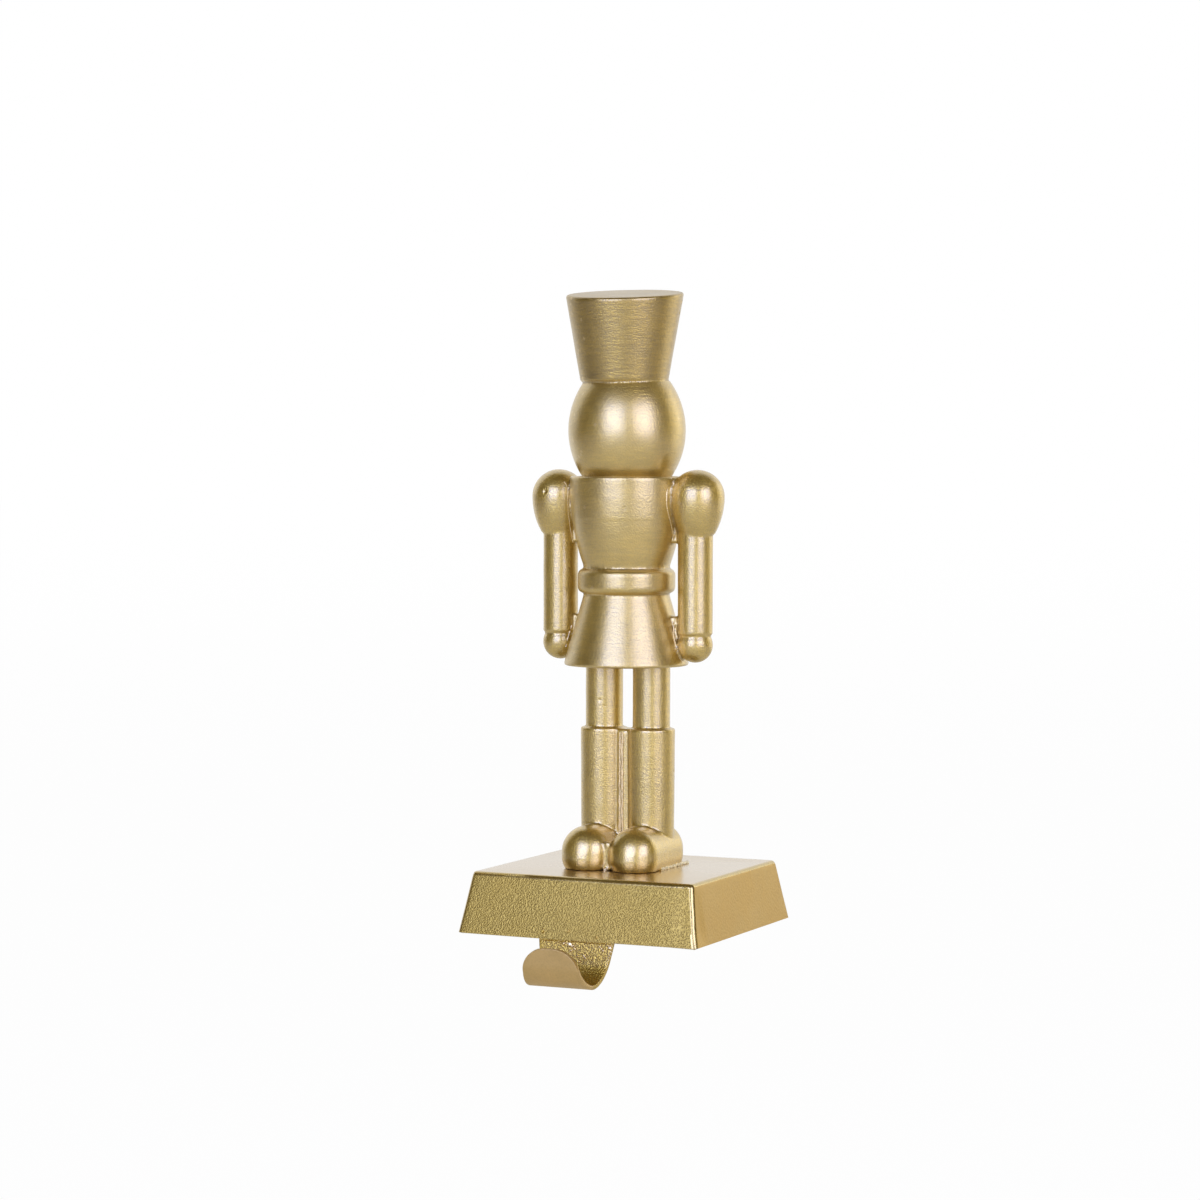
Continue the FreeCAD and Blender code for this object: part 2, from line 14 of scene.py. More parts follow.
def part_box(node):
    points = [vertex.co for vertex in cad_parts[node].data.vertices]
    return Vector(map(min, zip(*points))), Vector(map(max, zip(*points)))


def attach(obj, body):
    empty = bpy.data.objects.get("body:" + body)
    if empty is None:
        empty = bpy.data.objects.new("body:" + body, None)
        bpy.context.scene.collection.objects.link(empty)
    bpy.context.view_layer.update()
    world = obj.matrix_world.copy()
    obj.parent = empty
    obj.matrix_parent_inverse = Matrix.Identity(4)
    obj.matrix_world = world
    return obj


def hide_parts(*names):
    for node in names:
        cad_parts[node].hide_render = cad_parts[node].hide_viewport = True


bl_info = {
    "name": "Mantel stocking holder",
    "version": (1, 0, 0),
    "blender": (4, 5, 0),
    "location": "3D View > Sidebar > Holder",
    "description": "Models and paints the stocking holder round its packed solids",
    "category": "Object",
}

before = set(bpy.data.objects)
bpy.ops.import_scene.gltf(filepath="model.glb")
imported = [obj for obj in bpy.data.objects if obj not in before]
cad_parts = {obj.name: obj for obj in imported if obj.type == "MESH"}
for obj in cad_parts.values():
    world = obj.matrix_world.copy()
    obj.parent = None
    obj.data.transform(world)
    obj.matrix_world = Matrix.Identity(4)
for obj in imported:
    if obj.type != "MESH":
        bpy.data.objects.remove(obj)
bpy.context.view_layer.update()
BASE_LOW, BASE_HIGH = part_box("base_shell")
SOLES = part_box("soldier_figure")[0].z

MM = 0.001
RING = 224  # Points round a turned form
GRAIN, BODY_GRAIN, BEAD_GRAIN = 0.42 * MM, 0.51 * MM, 0.16 * MM  # Sizes at which the castings and beads are remeshed
HAND_FINISH = 0.10 * MM  # How deep hand finishing leaves the castings uneven
WEB_GAUGE = 3.2 * MM
HAT_SLOPE, HAT_HEADING = math.radians(6.6), math.radians(10.8)  # The slant of the hat's top, and where it faces
FLAT = 0.945  # Faces turned at least so much along an axis belong to a wall or the top, and not to a fold


# Sizes and colours a user would change

def length(name, millimetres, note):
    """A length in metres with its default given in millimetres."""
    return bpy.props.FloatProperty(name=name, description=note, default=millimetres * MM, min=0.0,
                                   precision=5, unit="LENGTH", subtype="DISTANCE")


def colour(name, default, note):
    """A colour that a material takes."""
    return bpy.props.FloatVectorProperty(name=name, description=note, default=default, size=3,
                                         min=0.0, max=1.0, subtype="COLOR")


def angle(name, degrees, note):
    """An angle with its default given in degrees."""
    return bpy.props.FloatProperty(name=name, description=note, default=math.radians(degrees), subtype="ANGLE")


def amount(name, default, note):
    """A plain number."""
    return bpy.props.FloatProperty(name=name, description=note, default=default, min=0.0)


class HOLDER_PG_figure(bpy.types.PropertyGroup):
    """The cast figure's own sizes, from its feet up."""

    leg_spacing: length("Leg spacing", 19.1, "Between the legs' axes")
    leg_set_back: length("Legs set back", 1.4, "Legs behind the base's middle")
    leg_radius: length("Leg radius", 7.0, "Bare leg between boot and skirt")
    boot_foot_radius: length("Boot foot radius", 8.55, "Boot just above the foot")
    boot_top_radius: length("Boot top radius", 8.85, "Boot at its rim")
    boot_top: length("Boot height", 51.5, "Boot rim above the base")
    foot_radius: length("Foot half width", 9.6, "Widest part of a foot")
    foot_tall: length("Foot height", 15.9, "Top of a foot above the base")
    foot_bulge: length("Foot bulge", 4.4, "Widest part above the base")
    toe_slope: length("Toe slope", 12.5, "Half height of the ellipse that the toe follows; more slopes it less")
    sole_radius: length("Sole half width", 8.5, "Foot where it meets the base")
    foot_front: length("Foot front", 13.3, "Toe ball ahead of the base's middle")
    foot_back: length("Foot back", 7.4, "Heel ball behind the base's middle")
    skirt_rise: length("Skirt rise", 74.6, "Skirt hem above the base")
    skirt_radius: length("Skirt radius", 23.2, "Skirt at its hem")
    skirt_tall: length("Skirt height", 26.7, "Hem to belt")
    waist_radius: length("Waist radius", 15.8, "Narrowest part under and over the belt")
    belt_radius: length("Belt radius", 18.1, "Outside of the belt")
    belt_tall: length("Belt height", 9.2, "Belt from edge to edge")
    belt_round: length("Belt rounding", 2.4, "Rounding of the belt's edges")
    torso_waist_tall: length("Torso lower height", 19.4, "Belt to chest")
    torso_radius: length("Torso radius", 20.8, "Torso at the chest")
    torso_chest_tall: length("Torso upper height", 14.7, "Chest to shoulders' top")
    torso_top_radius: length("Torso top radius", 21.2, "Torso at its top edge")
    neck_radius: length("Neck radius", 15.9, "Head where it meets torso and hat")
    head_radius: length("Head radius", 21.75, "Head at its widest")
    head_tall: length("Head height", 35.0, "Torso to hat")
    hat_radius: length("Hat radius", 16.3, "Hat at its foot")
    hat_top_radius: length("Hat top radius", 21.9, "Hat at its rim")
    hat_tall: length("Hat height", 32.2, "Head to the middle of the hat's top")
    hat_forward: length("Hat forward", 1.2, "Hat ahead of the head")
    hat_aside: length("Hat aside", 0.6, "Hat towards the viewer's left")
    shoulder_out: length("Shoulder out", 28.0, "Shoulder ball from the middle")
    shoulder_radius: length("Shoulder radius", 10.1, "Shoulder ball")
    shoulder_taper: length("Shoulder taper", 13.6, "Ball's middle to where the arm starts")
    arm_out: length("Arm out", 27.3, "Arm's axis from the middle")
    arm_set_back: length("Arms set back", 0.7, "Arms behind the middle")
    arm_radius: length("Arm radius", 6.5, "Straight part of the arm")
    arm_length: length("Arm length", 58.9, "Torso's top to the cuff")
    wrist_radius: length("Wrist radius", 5.9, "Hand where it leaves the cuff")
    hand_radius: length("Hand radius", 6.6, "Hand ball")


class HOLDER_PG_base(bpy.types.PropertyGroup):
    """The folded base and the strip hook."""

    side_inset: length("Side wall inset", 3.8, "How far each side wall leans in")
    front_inset: length("Front wall inset", 5.2, "How far the front and back walls lean in")
    sheet_gauge: length("Sheet gauge", 1.5, "Thickness of the base's sheet")
    corner_radius: length("Corner radius", 1.8, "Upright corners")
    fold_radius: length("Fold radius", 1.9, "Folds round the top")
    strip_gauge: length("Strip gauge", 1.5, "Thickness of the hook's strip")
    strip_half_width: length("Strip half width", 14.8, "Hook at the rim")
    bend_half_width: length("Bend half width", 12.2, "Hook at the bottom of its bend")
    tip_half_width: length("Tip half width", 11.0, "Hook below its rounded tip")
    tip_corner: length("Tip corner", 9.0, "Rounding of the tip's corners")
    bend_radius: length("Bend radius", 11.2, "Outside of the hook's bend")
    hook_drop: length("Hook drop", 15.5, "Bend below the rim")
    tip_flare: angle("Tip flare", 10, "How far the tip leans out")
    weld_overlap: length("Weld overlap", 12.0, "Strip flat against the wall inside")


class HOLDER_PG_paint(bpy.types.PropertyGroup):
    """The gold paint and what shows in it."""

    gold: colour("Gold", (0.62, 0.43, 0.075), "Paint on the casting")
    hat_gold: colour("Hat gold", (0.43, 0.28, 0.028), "Paint on the hat")
    sheet_gold: colour("Sheet gold", (0.58, 0.392, 0.122), "Paint on the base's plain sides and top")
    # Darker than the sheet gold: painted shade on the base's front and back and on its folds
    shaded_wall_gold: colour("Wall gold", (0.54, 0.385, 0.09), "Paint on the base's hammered front and back")
    # Paler than the gold: a painted reflection of the floor on the hook's tip
    tip_reflection_gold: colour("Tip gold", (0.64, 0.44, 0.17), "Paint on the hook's tip")
    # Pale gold also colours the flake's specks, where it is a painted glint
    pale: colour("Pale gold", (0.82, 0.63, 0.29), "Where the paint is worn or thick with flake")
    # Deep gold is painted shade, laid into creases
    deep: colour("Deep gold", (0.34, 0.22, 0.05), "Where the paint lies thick in a crease")
    filler: colour("Filler", (0.84, 0.72, 0.46), "Rough joint compound under thin paint")
    zinc: colour("Zinc", (0.62, 0.63, 0.64), "Screws and washers")
    roughness: amount("Roughness", 0.39, "Satin of the paint on the turned castings")
    limb_roughness: amount("Limb roughness", 0.33, "Satin of the paint on arms, legs and feet")
    sheet_roughness: amount("Sheet roughness", 0.46, "Satin of the paint on the base and the hook")


class HOLDER_PG_stage(bpy.types.PropertyGroup):
    """Camera, lamps and floor."""

    azimuth: angle("Azimuth", 24.62, "Camera round to the viewer's right")
    elevation: angle("Elevation", 2.52, "Camera above level")
    roll: angle("Roll", 0.13, "Camera turned about its own line")
    distance: length("Distance", 1231, "Camera from what it looks at")
    aim_aside: bpy.props.FloatProperty(name="Aim aside", description="Aim along the picture's own right",
                                       default=-9.85 * MM, unit="LENGTH")
    aim_height: length("Aim height", 120.8, "Aim above the shelf")
    lens: amount("Lens", 99.75, "Focal length in millimetres on a 36 mm frame")
    floor_drop: length("Floor drop", 60, "Floor below the base's rim")


# Modelling, as by hand

def deselect():
    """Nothing selected, nothing active, out of edit mode."""
    if bpy.context.object and bpy.context.object.mode != "OBJECT":
        bpy.ops.object.mode_set(mode="OBJECT")
    bpy.ops.object.select_all(action="DESELECT")
    bpy.context.view_layer.objects.active = None


def pick(*pieces):
    """Only these selected, the last one active."""
    deselect()
    for piece in pieces:
        piece.select_set(True)
    bpy.context.view_layer.objects.active = pieces[-1]


@contextmanager
def editing(piece):
    """Edit mode on one piece, all of it selected at first."""
    pick(piece)
    bpy.ops.object.mode_set(mode="EDIT")
    bpy.ops.mesh.select_all(action="SELECT")
    yield
    bpy.ops.object.mode_set(mode="OBJECT")


def select(piece, kind, wanted):
    """While editing, selects each FACE by wanted(face), or each EDGE by wanted(one end, other end)."""
    bpy.ops.mesh.select_mode(type=kind)
    bpy.ops.mesh.select_all(action="DESELECT")
    bpy.ops.object.mode_set(mode="OBJECT")
    if kind == "FACE":
        for face in piece.data.polygons:
            face.select = wanted(face)
    else:
        for edge in piece.data.edges:
            edge.select = wanted(*(piece.data.vertices[i].co for i in edge.vertices))
    bpy.ops.object.mode_set(mode="EDIT")


def added(name):
    """Names the piece an operator has just added and puts its place into its mesh."""
    piece = bpy.context.object
    piece.name = piece.data.name = name
    bpy.ops.object.transform_apply(location=True, rotation=True, scale=True)
    return piece


def turned(name, centre, profile):
    """A turned form: a disc extruded and scaled from ring to ring, profile being (radius, height) pairs."""
    deselect()
    radius, height = profile[0]
    bpy.ops.mesh.primitive_circle_add(vertices=RING, radius=radius, fill_type="NGON", location=(*centre, height))
    form = added(name)
    with editing(form):
        for (was, low), (radius, high) in zip(profile, profile[1:]):
            bpy.ops.mesh.extrude_region_move(TRANSFORM_OT_translate={"value": (0, 0, high - low)})
            bpy.ops.transform.resize(value=(radius / was, radius / was, 1), center_override=(*centre, high))
        bpy.ops.mesh.select_all(action="SELECT")
        bpy.ops.mesh.normals_make_consistent(inside=False)
    return form


def arc(centre, radius, start, end, steps):
    """(radius, height) pairs along an arc of a profile; angles in degrees from straight out, up positive."""
    angles = [math.radians(start + (end - start) * step / steps) for step in range(steps + 1)]
    return [(max(centre[0] + radius * math.cos(angle), 0.05 * MM), centre[1] + radius * math.sin(angle))
            for angle in angles]


def bowed(low, high, bulge, steps):
    """(radius, height) pairs from low to high along an arc that stands off their straight line by bulge."""
    chord = math.dist(low, high)
    radius = (chord**2 / 4 + bulge**2) / (2 * bulge)
    back = radius - bulge
    centre = ((low[0] + high[0]) / 2 - (high[1] - low[1]) / chord * back,
              (low[1] + high[1]) / 2 + (high[0] - low[0]) / chord * back)
    start, end = (math.degrees(math.atan2(up - centre[1], out - centre[0])) for out, up in (low, high))
    return arc(centre, radius, start, end, steps)


def bowed_half(narrow, wide, low, high, steps):
    """(radius, height) pairs of the lower half of an egg: from narrow at low out to wide at high."""
    tall = high - low
    radius = (tall**2 + (wide - narrow)**2) / (2 * (wide - narrow))
    heights = [low + tall * step / steps for step in range(steps + 1)]
    return [(wide - radius + math.sqrt(radius**2 - (high - height)**2), height) for height in heights]


def eased(profile, reach):
    """A profile with its breaks rounded: each radius is the mean of those within reach of its height."""
    low, high = profile[0][1], profile[-1][1]
    soft = []
    for _, height in profile:
        span = min(reach, height - low, high - height) + 0.01 * MM
        near = [radius for radius, other in profile if abs(other - height) <= span]
        soft.append((sum(near) / len(near), height))
    return soft


def mirrored(piece):
    """A copy on the other side of the figure, with its own mesh and its faces outwards."""
    pick(piece)
    bpy.ops.object.duplicate()
    bpy.context.object.scale.x = -1
    twin = added(f"other_{piece.name}")
    with editing(twin):
        bpy.ops.mesh.remove_doubles(threshold=0.01 * MM)
        bpy.ops.mesh.normals_make_consistent(inside=False)
    return twin


def block(name, centre, size):
    """A box form with eased edges, for a web."""
    deselect()
    bpy.ops.mesh.primitive_cube_add(size=1, location=centre, scale=size)
    form = added(name)
    with editing(form):
        bpy.ops.mesh.bevel(offset=min(size) / 4, segments=2)
    return form


def lump(name, centre, size):
    """A small uneven lump of metal or filler; its shape comes from its own place."""
    deselect()
    bpy.ops.mesh.primitive_ico_sphere_add(subdivisions=2, radius=1, location=(0, 0, 0))
    form = added(name)
    for vertex in form.data.vertices:
        swell = 1 + 0.35 * noise.noise(vertex.co * 1.6 + Vector(centre) / MM)
        vertex.co = Vector(centre) + Vector(vertex.co[i] * size[i] * swell for i in range(3))
    return form


def sliced(piece, normal, spacing):
    """Cuts level loops through the whole piece along a direction, so that its walls can be warped."""
    reach = [vertex.co.dot(normal) for vertex in piece.data.vertices]
    low = min(reach)
    with editing(piece):
        for step in range(1, int((max(reach) - low) / spacing)):
            bpy.ops.mesh.select_all(action="SELECT")
            bpy.ops.mesh.bisect(plane_co=normal * (low + step * spacing), plane_no=normal)


def apply_modifier(piece, kind, **settings):
    """Adds a modifier with these settings and applies it."""
    pick(piece)
    modifier = piece.modifiers.new(kind.title(), kind)
    for name, setting in settings.items():
        setattr(modifier, name, setting)
    bpy.ops.object.modifier_apply(modifier=modifier.name)


def fused(name, forms, grain, soften):
    """Forms joined into one casting: remeshed at a grain size, its creases softened."""
    pick(*forms)
    bpy.ops.object.join()
    casting = bpy.context.object
    casting.name = casting.data.name = name
    bpy.ops.object.duplicate()
    exact = bpy.context.object
    apply_modifier(casting, "REMESH", mode="VOXEL", voxel_size=grain)
    apply_modifier(casting, "SHRINKWRAP", target=exact, wrap_method="NEAREST_SURFACEPOINT")
    apply_modifier(casting, "SMOOTH", factor=0.5, iterations=soften)
    bpy.data.objects.remove(exact)
    return casting


def surface(piece):
    """Each vertex of a piece, with its normal as it is before anything moves."""
    normals = [normal.vector.copy() for normal in piece.data.vertex_normals]
    return list(zip(piece.data.vertices, normals))


def uneven(piece, spacing, seed):
    """Moves the surface in, in waves of the given spacing, as hand finishing leaves it."""
    for vertex, normal in surface(piece):
        wave = noise.noise(vertex.co / spacing + Vector((seed, 0, 0)))
        vertex.co -= normal * HAND_FINISH * (0.5 + 0.5 * wave)


def dented(piece, *marks):
    """Presses marks into the surface, or raises them: (place, radius, depth) in millimetres, a raised one negative."""
    shape = surface(piece)
    for place, radius, depth in marks:
        middle = Vector(place) * MM
        for vertex, normal in shape:
            share = (vertex.co - middle).length / (radius * MM)
            if share < 1:
                vertex.co -= normal * depth * MM * (1 - share * share)**2


def cast(name, forms, grain, spacing, seed, *marks):
    """Forms fused into one casting, with the unevenness and the marks of its making."""
    casting = fused(name, forms, grain, 3)
    uneven(casting, spacing, seed)
    dented(casting, *marks)
    return casting


def ridge(name, places, thick):
    """A thin raised line through places given in millimetres, as a mould joint leaves."""
    deselect()
    line = bpy.data.curves.new(name, "CURVE")
    line.dimensions, line.bevel_depth, line.bevel_resolution, line.use_fill_caps = "3D", thick * MM, 2, True
    spline = line.splines.new("POLY")
    spline.points.add(len(places) - 1)
    for number, (point, place) in enumerate(zip(spline.points, places)):
        point.co = (*(c * MM for c in place), 1)
        point.radius = 0.75 + 0.5 * abs(noise.noise(Vector(place) * 3 + Vector((number, 0, 0))))
    form = bpy.data.objects.new(name, line)
    bpy.context.scene.collection.objects.link(form)
    pick(form)
    bpy.ops.object.convert(target="MESH")
    return bpy.context.object


def joined(piece, *forms):
    """Joins small forms to a piece, whose own faces keep their numbers; returns how many faces the piece had."""
    faces = len(piece.data.polygons)
    pick(*forms, piece)
    bpy.ops.object.join()
    return faces


def finish_piece(piece, finish, slot, *nodes, **spots):
    """Smooth shading, its finish, its ride and the solids it stands for; spots give other finishes their faces."""
    pick(piece)
    bpy.ops.object.shade_smooth_by_angle(angle=math.radians(40))
    piece.data.materials.clear()
    piece.data.materials.append(MATERIALS[finish])
    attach(piece, "root")
    if nodes:
        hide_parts(*nodes)
    deselect()
    for number, (spot, wanted) in enumerate(spots.items(), 1):
        piece.data.materials.append(MATERIALS[spot])
        for face in piece.data.polygons:
            if wanted(face):
                face.material_index = number


def bearing(turn, rise):
    """A direction away from the object: turned from the front to the viewer's right, and raised above level."""
    return Vector((math.sin(turn) * math.cos(rise), -math.cos(turn) * math.cos(rise), math.sin(rise)))


# Paint: effects that more than one finish uses, each built once

def feed(socket, item):
    """Links the socket to another, or sets it to a number or a colour."""
    if isinstance(item, bpy.types.NodeSocket):
        socket.id_data.links.new(item, socket)
    else:
        socket.default_value = item


def node(tree, kind, inputs=(), **settings):
    """A node with its settings, and with inputs given by name or number."""
    made = tree.nodes.new(kind)
    for name, setting in settings.items():
        setattr(made, name, setting)
    for name, item in dict(inputs).items():
        feed(made.inputs[name], item)
    return made


def math_node(operation, *items, clamp=False):
    """A Math node fed by sockets or numbers; returns its output."""
    tree = next(item.id_data for item in items if isinstance(item, bpy.types.NodeSocket))
    return node(tree, "ShaderNodeMath", enumerate(items), operation=operation, use_clamp=clamp).outputs[0]


def times(first, second):
    """Two factors multiplied."""
    return math_node("MULTIPLY", first, second)


def noise_node(vector, scale, detail=2.0, roughness=0.5, distortion=0.0):
    """A Noise texture on the given coordinates; returns its factor."""
    return node(vector.id_data, "ShaderNodeTexNoise", {
        "Vector": vector, "Scale": scale, "Detail": detail, "Roughness": roughness, "Distortion": distortion,
    }).outputs["Fac"]


def stretched(vector, scale):
    """Coordinates multiplied along each axis."""
    return node(vector.id_data, "ShaderNodeMapping", {"Vector": vector, "Scale": scale}).outputs["Vector"]


def spread(fac, low, high, to_low=0.0, to_high=1.0):
    """A factor remapped smoothly from one range to another."""
    return node(fac.id_data, "ShaderNodeMapRange", {
        "Value": fac, "From Min": low, "From Max": high, "To Min": to_low, "To Max": to_high,
    }, interpolation_type="SMOOTHSTEP").outputs["Result"]


def mixed(fac, first, second):
    """Two colours mixed by a factor; each colour is a socket or three numbers."""
    mix = node(fac.id_data, "ShaderNodeMix", data_type="RGBA")
    feed(mix.inputs["Factor"], fac)
    for name, item in (("A", first), ("B", second)):
        socket = next(s for s in mix.inputs if s.name == name and s.type == "RGBA")
        feed(socket, item if isinstance(item, bpy.types.NodeSocket) else (*item, 1.0))
    return next(s for s in mix.outputs if s.type == "RGBA")


def toned(shade, fac, change):
    """A colour made darker where a factor is low and lighter where it is high, by up to this change."""
    scale = spread(fac, 0.0, 1.0, 1 - change, 1 + change)
    return node(fac.id_data, "ShaderNodeVectorMath", {"Vector": shade, "Scale": scale},
                operation="SCALE").outputs["Vector"]


def new_group(name, size, default, outputs):
    """An empty group that takes coordinates and one size and gives factors; returns it, its inputs and outputs."""
    group = bpy.data.node_groups.new(name, "ShaderNodeTree")
    group.interface.new_socket("Vector", in_out="INPUT", socket_type="NodeSocketVector")
    group.interface.new_socket(size, in_out="INPUT", socket_type="NodeSocketFloat").default_value = default
    for output in outputs:
        group.interface.new_socket(output, in_out="OUTPUT", socket_type="NodeSocketFloat")
    return group, node(group, "NodeGroupInput").outputs, node(group, "NodeGroupOutput").inputs


def turned_lines_group():
    """Fine level lines left by turning and brushing, broken along their length, as a height from 0 to 1."""
    group, given, found = new_group("Turned lines", "Spacing", 0.0004, ("Height", "Patch"))
    vector = given["Vector"]
    per_metre = math_node("DIVIDE", 0.5, given["Spacing"])
    lines = noise_node(stretched(vector, (0.16, 0.16, 1.0)), per_metre, 2.0, 0.6)
    coarse = noise_node(stretched(vector, (0.10, 0.10, 1.0)), times(per_metre, 0.4))
    both = math_node("ADD", times(lines, 0.75), times(coarse, 0.25))
    feed(found["Height"], spread(both, 0.36, 0.64))
    feed(found["Patch"], spread(noise_node(vector, 95.0), 0.38, 0.62))
    return group


def grain_group():
    """The orange-peel grain of sprayed paint, as a height from 0 to 1, with specks of its flake where the paint puts
    painted glints.
    """
    group, given, found = new_group("Paint grain", "Size", 0.001, ("Height", "Sparkle"))
    vector = given["Vector"]
    per_metre = math_node("DIVIDE", 1.0, given["Size"])
    cells = node(group, "ShaderNodeTexVoronoi", {"Smoothness": 0.6, "Vector": vector, "Scale": per_metre},
                 feature="SMOOTH_F1")
    waves = noise_node(vector, times(per_metre, 0.8), distortion=0.1)
    peel = math_node("ADD", times(cells.outputs["Distance"], 0.65), times(waves, 0.35))
    fine = noise_node(vector, times(per_metre, 3.4), 1.0)
    feed(found["Height"], spread(peel, 0.20, 0.66))
    feed(found["Sparkle"], spread(fine, 0.60, 0.74))
    return group


def wear_and_shade_group():
    """Where paint is thin on edges, and where creases take painted shade, from how the surface bends, with broad uneven
    patches.
    """
    group, given, found = new_group("Paint wear", "Patch size", 0.012, ("Edge", "Crease_shade", "Patch"))
    bends = node(group, "ShaderNodeNewGeometry").outputs["Pointiness"]
    per_metre = math_node("DIVIDE", 1.0, given["Patch size"])
    patch = noise_node(given["Vector"], per_metre, 3.0, 0.55)
    for name, factor, low, high in (("Edge", bends, 0.515, 0.56), ("Crease_shade", bends, 0.485, 0.44),
                                    ("Patch", patch, 0.3, 0.7)):
        feed(found[name], spread(factor, low, high))
    return group


def placed(group, vector, **values):
    """A group in a material, on the given coordinates and with its own values; returns its outputs."""
    named = {name.replace("_", " "): item for name, item in values.items()}
    return node(vector.id_data, "ShaderNodeGroup", {"Vector": vector, **named}, node_tree=group).outputs


def new_material(name, values):
    """A material whose Principled surface has these values; returns it, its tree, its shader and Object coordinates."""
    material = bpy.data.materials.new(name)
    material.use_nodes = True
    tree = material.node_tree
    tree.nodes.clear()
    shader = node(tree, "ShaderNodeBsdfPrincipled", values)
    node(tree, "ShaderNodeOutputMaterial", {"Surface": shader.outputs["BSDF"]})
    return material, tree, shader, node(tree, "ShaderNodeTexCoord").outputs["Object"]


def bumped(height, strength, distance, shader, below=None):
    """A Bump node over the one below it, feeding the shader's Normal."""
    bump = node(height.id_data, "ShaderNodeBump", {"Strength": strength, "Distance": distance, "Height": height})
    if below is not None:
        feed(bump.inputs["Normal"], below)
    feed(shader.inputs["Normal"], bump.outputs["Normal"])
    return bump.outputs["Normal"]


def gold_paint(name, groups, gold, roughness, lacquer, lines=0.0, grain=0.0, grain_size=0.8, patch=0.012,
               streaks=0.0, mottle=0.0, glint_flecks=0.35, wear_and_shade=1.0, metal=0.92):
    """Satin gold paint. Lines and grain are how deep the turned lines and the sprayed grain stand, in millimetres;
    streaks and mottle are how much each also changes the colour."""
    paint = bpy.context.scene.holder_paint
    material, tree, shader, place = new_material(name, {
        "Metallic": metal, "IOR": 1.8, "Coat Weight": lacquer, "Coat IOR": 2.4, "Coat Roughness": roughness * 0.82})
    # The crease mask lays deep gold into creases as painted shade; the edge mask is worn paint
    worn = placed(groups["wear_and_shade"], place, Patch_size=patch)
    peel = placed(groups["grain"], place, Size=grain_size * MM)
    body = mixed(worn["Patch"], [c * 0.94 for c in gold], [c * 1.05 for c in gold])
    # The pale specks are the paint's flake, painted in as glints
    for mask, share, shade in ((peel["Sparkle"], glint_flecks, paint.pale), (worn["Edge"], 0.5 * wear_and_shade, paint.pale),
                               (worn["Crease_shade"], 0.7 * wear_and_shade, paint.deep)):
        body = mixed(times(mask, share), body, shade)
    body = toned(body, peel["Height"], mottle)
    normal = bumped(peel["Height"], 1.0, grain * MM, shader)
    if lines:
        turning = placed(groups["lines"], place)
        height = times(turning["Height"], spread(turning["Patch"], 0.0, 1.0, 0.35, 1.0))
        bumped(height, 1.0, lines * MM, shader, normal)
        body = toned(body, turning["Height"], streaks)
    feed(shader.inputs["Base Color"], body)
    feed(shader.inputs["Roughness"], spread(worn["Patch"], 0.0, 1.0, roughness - 0.03, roughness + 0.04))
    return material


def plated(name, groups, zinc):
    """Bright zinc plate with faint turning lines."""
    material, tree, shader, place = new_material(name, {"Metallic": 1.0})
    worn = placed(groups["wear_and_shade"], place, Patch_size=0.003)
    feed(shader.inputs["Base Color"], mixed(worn["Patch"], [c * 0.85 for c in zinc], zinc))
    feed(shader.inputs["Roughness"], spread(worn["Patch"], 0.0, 1.0, 0.24, 0.36))
    turning = placed(groups["lines"], place, Spacing=0.0003)
    bumped(turning["Height"], 0.4, 0.02 * MM, shader)
    return material


MATERIALS = {}


def mix_paints():
    """Every finish of the holder, made once before the pieces."""
    paint = bpy.context.scene.holder_paint
    groups = {"lines": turned_lines_group(), "grain": grain_group(), "wear_and_shade": wear_and_shade_group()}
    satin, limb, sheet = paint.roughness, paint.limb_roughness, paint.sheet_roughness
    for name, gold, roughness, lacquer, surface in (
        ("hat", paint.hat_gold, satin, 0.75, dict(lines=0.09, grain=0.05, grain_size=0.6, streaks=0.095, mottle=0.05)),
        ("turned", paint.gold, satin, 1.0, dict(lines=0.04, grain=0.06, grain_size=0.6, streaks=0.055, mottle=0.05)),
        ("limbs", paint.gold, limb, 0.95, dict(lines=0.03, grain=0.09, grain_size=0.5, streaks=0.04, mottle=0.09)),
        ("feet", paint.gold, 0.32, 1.0, dict(grain=0.07, grain_size=0.5, mottle=0.12)),
        # The front and back walls and the folds take the darker gold as painted shade
        ("wall", paint.shaded_wall_gold, sheet, 0.05, dict(grain=0.12, grain_size=0.56, patch=0.02, mottle=0.045, wear_and_shade=0.0)),
        ("side", paint.sheet_gold, sheet, 0.1, dict(grain=0.04, grain_size=0.9, patch=0.02, mottle=0.02, wear_and_shade=0.0)),
        ("top", paint.sheet_gold, 0.29, 1.0, dict(grain=0.02, grain_size=1.2, patch=0.06, glint_flecks=0.1, wear_and_shade=0.0)),
        ("fold", paint.shaded_wall_gold, 0.24, 0.6, dict(grain=0.02, grain_size=0.8, mottle=0.06, wear_and_shade=0.0)),
        ("strip", paint.gold, 0.36, 0.2, dict(grain=0.19, grain_size=0.6, mottle=0.12, glint_flecks=0.6, wear_and_shade=0.5)),
        # The tip's paler gold is a painted reflection of the floor
        ("tip", paint.tip_reflection_gold, sheet, 0.3, dict(grain=0.02, grain_size=0.8, mottle=0.03, wear_and_shade=0.3)),
        ("weld", paint.pale, 0.30, 0.8, dict(grain=0.12, grain_size=0.5, patch=0.003, mottle=0.25)),
        ("seam", paint.pale, 0.36, 0.8, dict(grain=0.08, grain_size=0.5, patch=0.003, mottle=0.15, wear_and_shade=0.0)),
        ("filler", paint.filler, 0.45, 0.6,
         dict(grain=0.2, grain_size=0.6, patch=0.003, mottle=0.25, wear_and_shade=0.0, metal=0.8)),
    ):
        MATERIALS[name] = gold_paint(f"gold_{name}", groups, gold, roughness, lacquer, **surface)
    MATERIALS["zinc"] = plated("zinc_plate", groups, paint.zinc)


# The pieces

def levels(size):
    """Heights of the skirt's hem, the belt, the waist, the chest and the torso's top."""
    steps = (size.skirt_rise, size.skirt_tall, size.belt_tall, size.torso_waist_tall, size.torso_chest_tall)
    return list(accumulate(steps, initial=SOLES))[1:]


